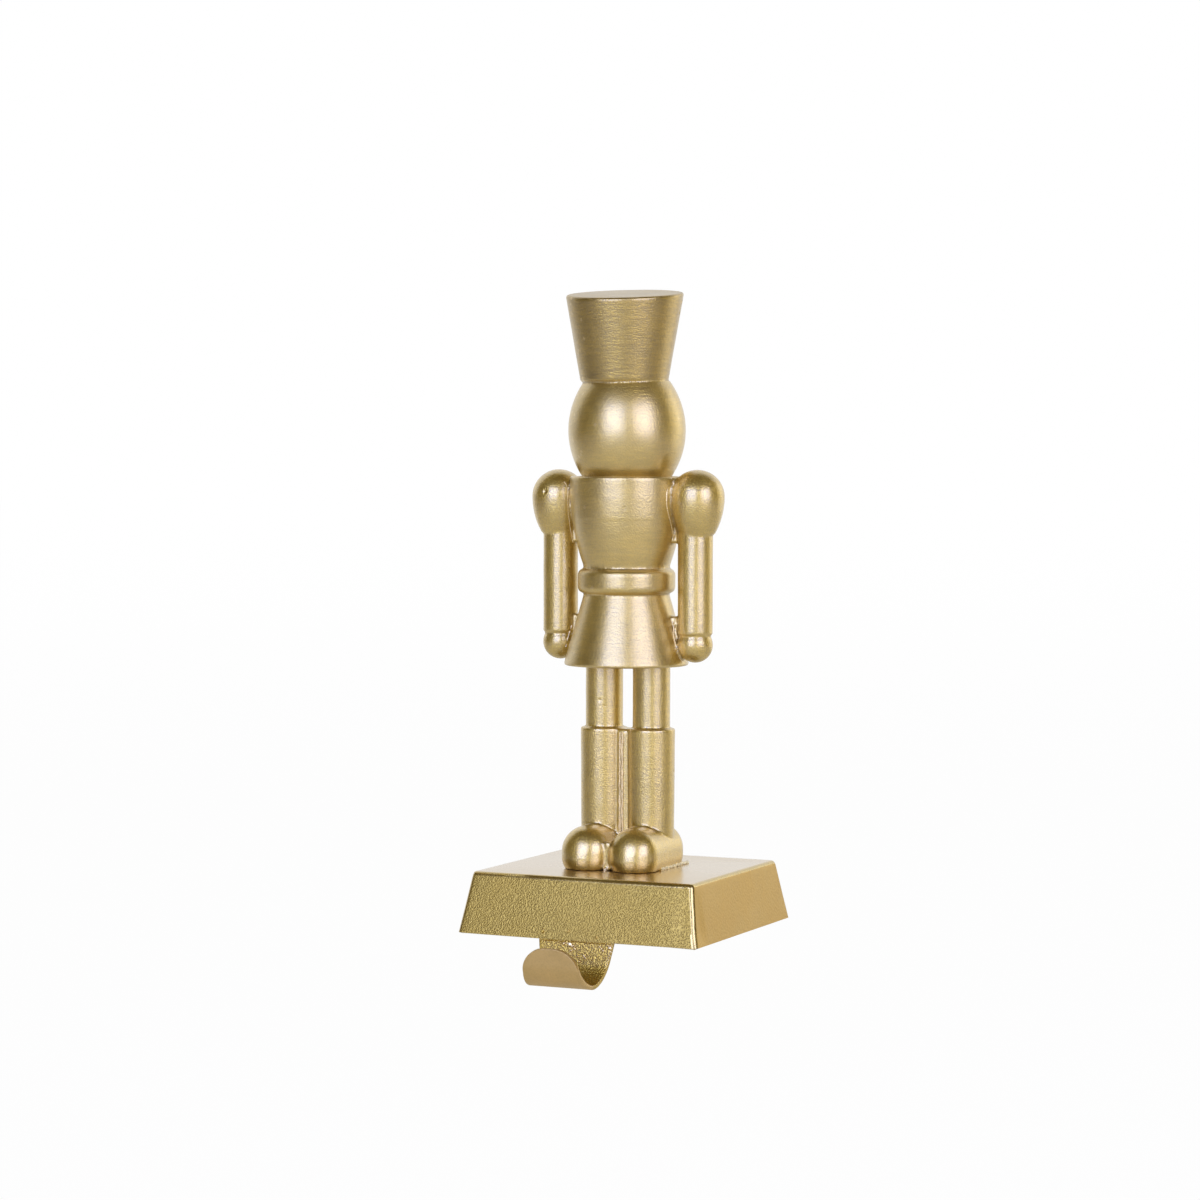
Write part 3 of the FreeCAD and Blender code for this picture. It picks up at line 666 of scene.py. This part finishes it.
class HOLDER_OT_head(bpy.types.Operator):
    """Model the tall hat on the plain head, as one casting"""

    bl_idname = "holder.head"
    bl_label = "Hat and head"

    def execute(self, context):
        size = context.scene.holder_figure
        low = levels(size)[-1]
        top = low + size.head_tall
        head = turned("head_form", (0, 0), bowed(
            (size.neck_radius, low - 1.2 * MM), (size.neck_radius, top), size.head_radius - size.neck_radius, 28))
        spare = size.hat_top_radius * math.tan(HAT_SLOPE)
        flare = (size.hat_top_radius - size.hat_radius) / size.hat_tall
        middle = (-size.hat_aside, -size.hat_forward)
        hat = turned("hat_form", middle, [
            (size.hat_radius - 2.2 * MM, top - 2 * MM), (size.hat_radius - 2.2 * MM, top - 0.3 * MM),
            (size.hat_radius - 0.3 * MM, top - 0.2 * MM), (size.hat_radius, top + 0.2 * MM),
            (size.hat_top_radius + 2 * spare * flare, top + size.hat_tall + 2 * spare)])
        with editing(hat):
            bpy.ops.mesh.bisect(plane_co=(*middle, top + size.hat_tall),
                                plane_no=bearing(HAT_HEADING, math.radians(90) - HAT_SLOPE),
                                use_fill=True, clear_outer=True)
            bpy.ops.mesh.region_to_loop()
            bpy.ops.mesh.bevel(offset=1.1 * MM, segments=6)
        casting = cast("hat_and_head", [head, hat], GRAIN, 9 * MM, 0.0,
                       ((19.9, 4.6, 231), 1.1, 0.45), ((19.4, 3.6, 226.6), 0.9, 0.35))
        finish_piece(casting, "turned", "cast_gold", "soldier_figure",
                     hat=lambda face: face.center.z > top + 0.1 * MM)
        return {"FINISHED"}


# Thickness and places, in millimetres, of the raised lines that the mould left beside the torso and the skirt
MOULD_JOINTS = (
    (0.24, ((20.3, -5.2, 166.4), (19.6, -7.0, 163.2), (19.4, -7.8, 160.6), (19.3, -7.6, 156.2), (19.6, -6.4, 152.6),
            (19.8, -5.1, 150.2), (19.8, -3.2, 146.6), (19.7, -1.9, 143.4))),
    (0.24, ((-22.8, -6.2, 164.5), (-21.8, -6.0, 163.3), (-21.2, -6.4, 161.0), (-21.1, -6.6, 158.5),
            (-21.2, -5.7, 152.4), (-21.6, -3.1, 147.1), (-21.2, -1.6, 141.8))),
    (0.26, ((19.9, -1.7, 112.2), (19.7, -2.2, 109.0), (20.5, -2.6, 106.6), (21.1, -2.8, 104.2), (21.9, -2.7, 100.7),
            (22.7, -0.9, 98.6))),
    (0.2, ((-21.4, -2.1, 111.1), (-22.1, -2.6, 108.5), (-22.6, -3.6, 105.6), (-23.0, -3.9, 103.0))),
)


class HOLDER_OT_body(bpy.types.Operator):
    """Model torso, belt, skirt and both arms with the webs the mould left between them"""

    bl_idname = "holder.body"
    bl_label = "Body and arms"

    def execute(self, context):
        size = context.scene.holder_figure
        hem, belt, waist, chest, top = levels(size)
        skirt = turned("skirt_form", (0, 0), [
            (size.skirt_radius - 0.8 * MM, hem), (size.skirt_radius - 0.25 * MM, hem + 0.25 * MM),
            (size.skirt_radius - 0.05 * MM, hem + 0.9 * MM), (size.waist_radius, belt),
            (size.waist_radius, belt + 1 * MM)])
        edge = size.belt_radius - size.belt_round
        belt_form = turned("belt_form", (0, 0), [
            *arc((edge, belt + size.belt_round), size.belt_round, -90, 0, 6),
            *arc((edge, waist - size.belt_round), size.belt_round, 0, 90, 6)])
        belly = bowed((size.waist_radius, waist), (size.torso_radius, chest), 0.6 * MM, 24)
        ribs = [(size.torso_radius + (size.torso_top_radius - size.torso_radius) * step / 16,
                 chest + (size.torso_chest_tall - 1 * MM) * step / 16) for step in range(1, 17)]
        torso = turned("torso_form", (0, 0), [
            (size.waist_radius, waist - 1 * MM), *eased(belly + ribs, 9 * MM),
            *arc((size.torso_top_radius - 1 * MM, top - 1 * MM), 1 * MM, 10, 90, 5)])
        ball = top + 2.5 * MM - size.shoulder_radius
        taper = ball - size.shoulder_taper
        shoulder = turned("shoulder_form", (size.shoulder_out, size.arm_set_back), [
            (0.1 * MM + size.arm_radius * 0.5, taper),
            *bowed_half(size.arm_radius, size.shoulder_radius, taper, ball, 10),
            *arc((0, ball), size.shoulder_radius, 8, 90, 10)])
        cuff = top - size.arm_length
        hand = cuff - math.sqrt(size.hand_radius**2 - size.wrist_radius**2)
        rise = math.degrees(math.asin((cuff - hand) / size.hand_radius))
        arm = turned("arm_form", (size.arm_out, size.arm_set_back), [
            *arc((0, hand), size.hand_radius, -90, rise, 14), (size.wrist_radius - 0.1 * MM, cuff + 0.45 * MM),
            (size.arm_radius, cuff + 1.1 * MM), (size.arm_radius, ball)])
        across, wide = (size.waist_radius + size.arm_out) / 2, size.arm_out - size.waist_radius
        armpit = block("armpit_web", (across, 0, chest - 5 * MM), (wide, WEB_GAUGE, 10 * MM))
        palm = block("hand_web", (across, 0.2 * MM, hand + 5.2 * MM), (wide, WEB_GAUGE, 10.5 * MM))
        side = [shoulder, arm, armpit, palm]
        other = [mirrored(form) for form in side]
        casting = cast("body_and_arms", [skirt, belt_form, torso, *side, *other], BODY_GRAIN, 8 * MM, 3.0,
                       ((-29.3, -9.1, 160.9), 1.0, 0.5), ((7.7, -19.3, 155.2), 0.8, 0.12),
                       ((19.6, -1.8, 143.2), 0.9, -0.4), ((20.1, -1.6, 112.4), 1.0, -0.5))
        own = joined(casting, *(ridge("mould_joint", places, thick) for thick, places in MOULD_JOINTS))
        finish_piece(casting, "turned", "cast_gold", "soldier_figure",
                     limbs=lambda face: abs(face.center.x) > size.torso_top_radius,
                     seam=lambda face: face.index >= own)
        return {"FINISHED"}


class HOLDER_OT_legs(bpy.types.Operator):
    """Model legs, boots and the long domed feet that stand on the base"""

    bl_idname = "holder.legs"
    bl_label = "Legs and feet"

    def execute(self, context):
        size = context.scene.holder_figure
        floor, rim, hem = SOLES, SOLES + size.boot_top, levels(size)[0]
        across = size.leg_spacing / 2
        leg = turned("leg_form", (across, size.leg_set_back), [
            (size.boot_foot_radius, floor - 1 * MM), (size.boot_foot_radius, floor + 10 * MM),
            (size.boot_top_radius, rim - 0.7 * MM), (size.boot_top_radius - 0.2 * MM, rim - 0.2 * MM),
            (size.boot_top_radius - 0.7 * MM, rim), (size.leg_radius + 0.3 * MM, rim),
            (size.leg_radius, rim + 0.4 * MM), (size.leg_radius, hem + 1.5 * MM)])
        foot = turned("foot_form", (across, 0), [
            (size.sole_radius - 0.5 * MM, floor), (size.sole_radius - 0.1 * MM, floor + 0.15 * MM),
            *bowed_half(size.sole_radius, size.foot_radius, floor + 0.3 * MM, floor + size.foot_bulge, 8),
            *arc((0, floor + size.foot_tall - size.foot_radius), size.foot_radius, 0, 90, 20)])
        self.lengthen(foot, size, across)
        side = [leg, foot]
        other = [mirrored(form) for form in side]
        side += [lump("filler", (across + size.sole_radius + 0.25 * MM * math.sin(step * 2.1),
                                 (-9 + step * 1.1) * MM, floor + 0.35 * MM), (0.8 * MM, 1.0 * MM, 0.75 * MM))
                 for step in range(24)]
        side += [lump("filler", (-0.4 * MM, y * MM, floor + 0.4 * MM), (0.8 * MM, 1.2 * MM, 1.1 * MM))
                 for y in (-17.6, -15.4, -13.4)]
        low, high = floor + size.foot_bulge, rim - 0.3 * MM
        web = block("boot_web", (0, size.leg_set_back, (low + high) / 2),
                    (2 * across - 2 * size.leg_radius, 10.8 * MM, high - low))
        toe_web = block("toe_web", (0, -(size.foot_front + 1.2 * MM) / 2 - 4 * MM, floor + 5.4 * MM),
                        (WEB_GAUGE, size.foot_front - 0.6 * MM, 10.4 * MM))
        casting = cast("legs_and_feet", [*side, *other, web, toe_web], GRAIN, 7 * MM, 6.0,
                       ((18.1, 2.8, 57.8), 0.9, 0.35), ((17.8, 4.0, 55.1), 0.9, 0.3),
                       ((-8.3, -5.6, 83.8), 0.8, 0.2), ((-6.5, -4.9, 81.6), 0.8, 0.2))
        front = (size.leg_set_back - 5.6 * MM) / MM
        heights = range(int((floor + 6 * MM) / MM), int(rim / MM))
        own = joined(casting, *(
            ridge("web_flash", [(line * 0.5 + 0.25 * noise.noise(Vector((line, z, 0)) * 0.7),
                                 front + 0.12 * noise.noise(Vector((z, line, 1))), z) for z in heights], 0.3)
            for line in (-1.6, -0.4, 0.8)))
        finish_piece(
            casting, "limbs", "cast_gold", "soldier_figure",
            feet=lambda face: face.center.z < floor + size.foot_tall * 0.97 and (
                abs(face.center.y) > size.boot_top_radius or abs(face.center.x) > across + size.boot_foot_radius),
            filler=lambda face: face.index < own and face.center.z < floor + 1.1 * MM and (
                face.center.x > across + size.sole_radius - 0.2 * MM and face.center.y > -9.5 * MM
                or abs(face.center.x + 0.4 * MM) < 1.0 * MM),
            seam=lambda face: face.index >= own)
        return {"FINISHED"}

    def lengthen(self, foot, size, across):
        """Slopes a round foot's toe down to the front, then draws toe and heel apart."""
        for vertex in foot.data.vertices:
            out = math.hypot(vertex.co.x - across, vertex.co.y)
            if vertex.co.y < -0.1 * MM and out > 0.2 * MM:
                above = max(0.0, vertex.co.z - SOLES - size.foot_bulge + 0.5 * MM) / size.toe_slope
                reach = size.foot_radius * math.sqrt(max(0.0, 1 - above**2))
                ahead = (vertex.co.y / out)**2
                vertex.co.y *= 1 + ahead * (min(1.0, reach / out) - 1)
            if abs(vertex.co.y) > 0.1 * MM:
                vertex.co.y += -size.foot_front if vertex.co.y < 0 else size.foot_back


class HOLDER_OT_base(bpy.types.Operator):
    """Fold the base from one sheet: leaning walls, rounded folds, open below"""

    bl_idname = "holder.base"
    bl_label = "Folded base"

    def execute(self, context):
        size = context.scene.holder_base
        wide, deep, _ = BASE_HIGH - BASE_LOW
        tall = BASE_HIGH.z
        deselect()
        bpy.ops.mesh.primitive_cube_add(size=1, location=(0, 0, tall / 2), scale=(wide, deep, tall))
        base = added("folded_base")
        with editing(base):
            select(base, "FACE", lambda face: face.normal.z > 0.9)
            bpy.ops.transform.resize(value=(1 - 2 * size.side_inset / wide, 1 - 2 * size.front_inset / deep, 1),
                                     center_override=(0, 0, tall))
            select(base, "EDGE", lambda a, b: abs(a.z - b.z) > tall / 2)
            bpy.ops.mesh.bevel(offset=size.corner_radius * 1.1, segments=6)
            select(base, "EDGE", lambda a, b: min(a.z, b.z) > tall - 0.1 * MM)
            bpy.ops.mesh.bevel(offset=size.fold_radius * 0.8, segments=6)
            select(base, "FACE", lambda face: face.normal.z < -0.9)
            bpy.ops.mesh.delete(type="FACE")
        for along in ((0, 0, 1), (1, 0, 0), (0, 1, 0)):
            sliced(base, Vector(along), 2.4 * MM)
        self.warp(base)
        apply_modifier(base, "SOLIDIFY", thickness=size.sheet_gauge, offset=-1.0, use_even_offset=True)
        self.drill(base)
        finish_piece(base, "fold", "gold_paint", "base_shell",
                     side=lambda face: abs(face.normal.x) > FLAT,
                     wall=lambda face: abs(face.normal.y) > FLAT,
                     top=lambda face: abs(face.normal.z) > FLAT)
        return {"FINISHED"}

    def warp(self, base):
        """Lets the walls wander inwards a little, as folded and ground sheet does, and bows the front corners."""
        for vertex in base.data.vertices:
            place = vertex.co.copy()
            wave = 0.5 + 0.5 * noise.noise(place / (14 * MM))
            inwards = Vector((-place.x, -place.y, 0)).normalized()
            corner = min(1.0, math.hypot(place.x, place.y) / (60 * MM))
            if place.z < BASE_HIGH.z - 0.5 * MM:
                vertex.co += inwards * (0.22 * MM * wave) * corner
                if place.x > 40 * MM and place.y < -38 * MM:
                    share = max(0.0, place.z / BASE_HIGH.z)
                    ruffle = 0.7 + 0.3 * noise.noise(place / (5 * MM))
                    vertex.co += inwards * 0.9 * MM * math.sin(math.pi * share**0.8) * ruffle
                if place.y < -35 * MM and place.x < 0:
                    vertex.co.y += 0.8 * MM * (place.x / (48 * MM))**2

    def drill(self, base):
        """Cuts the two screw holes through the top."""
        cutters = []
        for screw in ("left_foot_screw", "right_foot_screw"):
            low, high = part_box(screw)
            deselect()
            bpy.ops.mesh.primitive_cylinder_add(vertices=48, radius=2.25 * MM, depth=8 * MM,
                                                location=((low.x + high.x) / 2, (low.y + high.y) / 2, BASE_HIGH.z))
            cutters.append(added(f"{screw}_drill"))
        pick(*cutters)
        bpy.ops.object.join()
        tool = bpy.context.object
        apply_modifier(base, "BOOLEAN", operation="DIFFERENCE", solver="EXACT", object=tool)
        bpy.data.objects.remove(tool)


def wall_lean(size):
    """How far the base's front wall leans back from upright."""
    return math.atan2(size.front_inset, BASE_HIGH.z)


class HOLDER_OT_hook(bpy.types.Operator):
    """Bend the hook from one strip: flat against the wall, round its bend and up to a rounded tip"""

    bl_idname = "holder.hook"
    bl_label = "Strip hook"

    def execute(self, context):
        size = context.scene.holder_base
        radius, lean = size.bend_radius, wall_lean(size)
        back = BASE_LOW.y + (size.sheet_gauge + size.strip_gauge) / math.cos(lean)
        middle_z = radius - size.hook_drop
        start_z = middle_z - radius * math.sin(lean)
        middle_y = back + start_z * math.tan(lean) - radius * math.cos(lean)
        tip_z = -0.3 * MM
        path = []
        for step in range(10):
            z = size.weld_overlap + (start_z - size.weld_overlap) * step / 9
            path.append((back + z * math.tan(lean), z))
        turn_from, turn_to = -math.degrees(lean), -180 + math.degrees(size.tip_flare)
        for step in range(1, 29):
            angle = math.radians(turn_from + (turn_to - turn_from) * step / 28)
            path.append((middle_y + radius * math.cos(angle), middle_z + radius * math.sin(angle)))
        y, z = path[-1]
        rise = tip_z - z
        for step in range(1, 13):
            path.append((y - rise * step / 12 * math.tan(size.tip_flare), z + rise * step / 12))
        strip = self.bent(path, [self.half_width(size, point, middle_y, tip_z) for point in path])
        apply_modifier(strip, "SOLIDIFY", thickness=size.strip_gauge, offset=-1.0, use_even_offset=True)
        apply_modifier(strip, "BEVEL", width=0.22 * MM, segments=2, limit_method="ANGLE",
                       angle_limit=math.radians(50))
        finish_piece(strip, "strip", "gold_paint", "stocking_hook", tip=lambda face: face.center.y < middle_y)
        return {"FINISHED"}

    def half_width(self, size, point, middle_y, tip_z):
        """Half the strip's width at a point of its path: straight tapers, then the tip's round corners."""
        y, z = point
        if y > middle_y:
            return size.bend_half_width + (size.strip_half_width - size.bend_half_width) * min(
                1.0, max(0.0, (z + size.hook_drop) / size.hook_drop))
        corner = tip_z - size.tip_corner
        if z < corner:
            share = (z + size.hook_drop) / (corner + size.hook_drop)
            return size.bend_half_width + (size.tip_half_width - size.bend_half_width) * share
        return size.tip_half_width - size.tip_corner + math.sqrt(
            max(size.tip_corner**2 - (z - corner)**2, (0.6 * MM)**2))

    def bent(self, path, widths):
        """The strip without its gauge: a row of faces extruded along the path and scaled to each half width."""
        deselect()
        bpy.ops.mesh.primitive_grid_add(x_subdivisions=24, y_subdivisions=1, size=1, location=(0, *path[0]))
        strip = added("hook_strip")
        for vertex in strip.data.vertices:
            row = 0 if vertex.co.y > path[0][0] else 1
            vertex.co = (vertex.co.x * 2 * widths[row], *path[row])
        with editing(strip):
            select(strip, "EDGE", lambda a, b: max(a.z, b.z) < path[0][1] - 0.1 * MM)
            for i in range(2, len(path)):
                bpy.ops.mesh.extrude_region_move(TRANSFORM_OT_translate={
                    "value": (0, path[i][0] - path[i - 1][0], path[i][1] - path[i - 1][1])})
                bpy.ops.transform.resize(value=(widths[i] / widths[i - 1], 1, 1), center_override=(0, 0, 0))
            bpy.ops.mesh.select_all(action="SELECT")
            bpy.ops.mesh.normals_make_consistent(inside=False)
        if strip.data.polygons[0].normal.y < 0:
            with editing(strip):
                bpy.ops.mesh.flip_normals()
        return strip


# Places across and up from the rim, in millimetres, of the weld's spatter with its radius,
# and of the pips on the front wall with their radius and height
SPATTER = ((-3.2, -0.9, 0.9), (-2.1, -1.6, 1.0), (-0.9, -2.2, 0.8), (-4.7, -1.5, 0.7), (-6.7, -0.9, 0.6),
           (-1.6, -3.7, 0.6), (0.0, -3.1, 0.45), (1.1, -5.4, 0.45), (3.7, -5.3, 0.5), (4.4, -6.0, 0.5),
           (2.1, -7.4, 0.4), (13.7, -1.9, 0.8), (12.7, -0.9, 0.7), (9.7, -1.8, 0.4), (10.4, -2.4, 0.4),
           (11.0, -3.1, 0.4), (14.2, -3.2, 0.5), (14.0, -4.6, 0.45), (13.6, -6.1, 0.45), (13.2, -7.6, 0.4))
PIPS = ((-12.9, 2.6, 0.55, 1.1), (-2.8, 3.2, 0.5, 0.8), (8.5, 1.7, 0.5, 0.6))


class HOLDER_OT_weld(bpy.types.Operator):
    """Lay the uneven weld beads that hold the hook, with the spatter round them"""

    bl_idname = "holder.weld"
    bl_label = "Weld beads"

    def execute(self, context):
        size = context.scene.holder_base
        slope = math.tan(wall_lean(size))
        inside = BASE_LOW.y + size.sheet_gauge / math.cos(wall_lean(size))
        lumps = []
        for number in range(22):
            x = (-13.4 + number * 26.8 / 21) * MM
            thick = (0.45 + 0.35 * abs(noise.noise(Vector((number * 0.7, 1, 0))))) * MM
            lumps.append(lump("rim_bead", (x, inside - 0.35 * MM, -0.35 * MM), (0.9 * MM, thick, thick)))
        for x, z, r in SPATTER:
            y = inside + z * MM * slope
            lumps.append(lump("spatter", (x * MM, y - 0.15 * MM, z * MM), (r * MM, r * 0.8 * MM, r * MM)))
        for x, z, r, tall in PIPS:
            y = BASE_LOW.y + z * MM * slope
            lumps.append(lump("pip", (x * MM, y + 0.1 * MM, z * MM), (r * MM, 0.45 * MM, tall * MM)))
        for hand in (-1, 1):
            for number in range(8):
                z = (0.9 + number * 1.25) * MM
                place = (hand * (size.strip_half_width + 0.2 * MM), inside + z * slope + 0.5 * MM, z)
                lumps.append(lump("side_bead", place, (1.1 * MM, 0.9 * MM, 1.0 * MM)))
        beads = fused("weld_beads", lumps, BEAD_GRAIN, 1)
        finish_piece(beads, "strip", "gold_paint", "hook_weld_beads", weld=lambda face: face.center.z < -0.9 * MM)
        return {"FINISHED"}


class HOLDER_OT_screws(bpy.types.Operator):
    """Plate the screws and washers, whose solids keep their own shapes"""

    bl_idname = "holder.screws"
    bl_label = "Screws and washers"

    def execute(self, context):
        for name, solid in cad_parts.items():
            if name.endswith(("_screw", "_washer")):
                solid.data.materials.clear()
                solid.data.materials.append(MATERIALS["zinc"])
        return {"FINISHED"}


class HOLDER_OT_stage(bpy.types.Operator):
    """Set the white floor and backdrop, the lamps, the room's light and the camera"""

    bl_idname = "holder.stage"
    bl_label = "Stage"

    def execute(self, context):
        look = context.scene.holder_stage
        self.sweep(look)
        self.lamps(context.scene, look)
        self.world(context.scene)
        self.camera(context.scene, look)
        context.scene.view_settings.view_transform = "Standard"
        return {"FINISHED"}

    def sweep(self, look):
        """Floor and backdrop in one curved sheet, turned to face the camera."""
        deselect()
        bpy.ops.mesh.primitive_plane_add(size=6.0, location=(0, -1.5, 0))
        sheet = added("white_sweep")
        with editing(sheet):
            select(sheet, "EDGE", lambda a, b: min(a.y, b.y) > 1.4)
            bpy.ops.mesh.extrude_region_move(TRANSFORM_OT_translate={"value": (0, 0, 3.0)})
            select(sheet, "EDGE", lambda a, b: min(a.y, b.y) > 1.4 and max(a.z, b.z) < 0.1)
            bpy.ops.mesh.bevel(offset=0.5, segments=16)
        sheet.matrix_world = Matrix.Translation((0, 0, -look.floor_drop)) @ Matrix.Rotation(look.azimuth, 4, "Z")
        pick(sheet)
        bpy.ops.object.shade_smooth()
        sheet.data.materials.append(self.sweep_paint())
        deselect()

    def sweep_paint(self):
        """White to the camera and plain grey to all other light; to reflections it glows as painted light, dim far
        aside, bright behind and up the backdrop, and warm on the floor in front.
        """
        material, tree, shader, place = new_material("white_sweep", {
            "Base Color": (0.72, 0.70, 0.68, 1), "Roughness": 0.9, "Specular IOR Level": 0.0})
        rays = node(tree, "ShaderNodeLightPath").outputs
        split = node(tree, "ShaderNodeSeparateXYZ", {"Vector": place}).outputs
        aside, depth, height = math_node("ABSOLUTE", split["X"]), split["Y"], split["Z"]
        # Painted reflection: to glossy rays the floor in front glows warm
        near_floor = math_node("SUBTRACT", rays["Is Glossy Ray"], spread(depth, 0.0, 0.8), clamp=True)
        tint = mixed(near_floor, (1.0, 1.0, 1.0), (1.0, 0.95, 0.66))
        white = node(tree, "ShaderNodeEmission", {"Color": tint, "Strength": 1.0})
        seen = times(rays["Is Camera Ray"], spread(height, 0.0, 0.2, 0.98, 1.0))
        behind = times(spread(depth, 0.0, 0.9, 0.0, 0.95), spread(aside, 0.8, 2.0, 1.0, 0.1))
        # Painted reflection: how brightly the sweep glows to glossy rays, by where it lies
        reflection_glow = math_node("MAXIMUM", spread(aside, 0.3, 0.95, 0.40, 0.10),
                        math_node("MAXIMUM", behind, spread(height, 0.0, 0.5, 0.0, 0.95)))
        shown = math_node("MAXIMUM", seen, times(rays["Is Glossy Ray"], reflection_glow))
        mix = node(tree, "ShaderNodeMixShader", {
            "Fac": shown, 1: shader.outputs["BSDF"], 2: white.outputs["Emission"]})
        out = next(item for item in tree.nodes if item.type == "OUTPUT_MATERIAL")
        feed(out.inputs["Surface"], mix.outputs["Shader"])
        return material

    def lamps(self, scene, look):
        """The lamps, each given round from the camera's line, above level, how far, its size, power and tint."""
        aim = Vector((0, 0, look.aim_height))
        for name, turn, rise, far, wide, tall, power, tint in (
            ("softbox_left", -27, 17, 2.0, 1.42, 1.46, 17.4, (0.90, 1.03, 1.66)),
            ("softbox_right", 34, 17, 2.0, 1.40, 1.46, 16.6, (0.95, 1.01, 1.52)),
            ("reflector_right", 114, 4, 1.2, 0.7, 1.2, 2.7, (1.0, 0.94, 0.72)),
        ):
            away = bearing(look.azimuth + math.radians(turn), math.radians(rise))
            lamp = bpy.data.lights.new(name, "AREA")
            lamp.shape, lamp.size, lamp.size_y, lamp.energy, lamp.color = "RECTANGLE", wide, tall, power, tint
            holder = bpy.data.objects.new(name, lamp)
            scene.collection.objects.link(holder)
            holder.location = aim + away * far
            holder.rotation_euler = away.to_track_quat("Z", "Y").to_euler()

    def world(self, scene):
        """A dim warm room for the object and white for the camera."""
        scene.world = bpy.data.worlds.new("white_room")
        scene.world.use_nodes = True
        tree = scene.world.node_tree
        tree.nodes.clear()
        room = node(tree, "ShaderNodeBackground", {"Color": (1.0, 0.74, 0.22, 1), "Strength": 0.13})
        white = node(tree, "ShaderNodeBackground", {"Color": (1, 1, 1, 1), "Strength": 1.0})
        mix = node(tree, "ShaderNodeMixShader", {
            "Fac": node(tree, "ShaderNodeLightPath").outputs["Is Camera Ray"],
            1: room.outputs["Background"], 2: white.outputs["Background"]})
        node(tree, "ShaderNodeOutputWorld", {"Surface": mix.outputs["Shader"]})

    def camera(self, scene, look):
        """The photograph's camera."""
        view = bpy.data.cameras.new("photo_camera")
        view.lens, view.sensor_width, view.clip_end = look.lens, 36.0, 20.0
        camera = bpy.data.objects.new("photo_camera", view)
        scene.collection.objects.link(camera)
        heading = Matrix.Rotation(look.azimuth, 4, "Z")
        aim = heading @ Vector((look.aim_aside, 0, look.aim_height))
        place = Matrix.Translation(aim + bearing(look.azimuth, look.elevation) * look.distance)
        level = Matrix.Rotation(math.radians(90) - look.elevation, 4, "X")
        camera.matrix_world = place @ heading @ level @ Matrix.Rotation(look.roll, 4, "Z")
        scene.camera = camera


class HOLDER_PT_panel(bpy.types.Panel):
    """Lists the pieces in the 3D view's sidebar"""

    bl_idname = "HOLDER_PT_panel"
    bl_label = "Stocking holder"
    bl_space_type = "VIEW_3D"
    bl_region_type = "UI"
    bl_category = "Holder"

    def draw(self, context):
        for step in STEPS:
            self.layout.operator(step.bl_idname)
        for group in GROUPS:
            values = getattr(context.scene, group)
            box = self.layout.box()
            for name in values.bl_rna.properties.keys():
                if name not in ("rna_type", "name"):
                    box.prop(values, name)


STEPS = (HOLDER_OT_head, HOLDER_OT_body, HOLDER_OT_legs, HOLDER_OT_base, HOLDER_OT_hook, HOLDER_OT_weld,
         HOLDER_OT_screws, HOLDER_OT_stage)
GROUPS = {"holder_figure": HOLDER_PG_figure, "holder_base": HOLDER_PG_base, "holder_paint": HOLDER_PG_paint,
          "holder_stage": HOLDER_PG_stage}
CLASSES = (*GROUPS.values(), *STEPS, HOLDER_PT_panel)


def register():
    for group in CLASSES:
        bpy.utils.register_class(group)
    for name, group in GROUPS.items():
        setattr(bpy.types.Scene, name, bpy.props.PointerProperty(type=group))


def unregister():
    for name in GROUPS:
        delattr(bpy.types.Scene, name)
    for group in reversed(CLASSES):
        bpy.utils.unregister_class(group)


def main():
    """Registers the add-on, mixes the paints and makes every piece."""
    register()
    mix_paints()
    for step in STEPS:
        area, name = step.bl_idname.split(".")
        getattr(getattr(bpy.ops, area), name)()


if __name__ == "__main__":
    main()
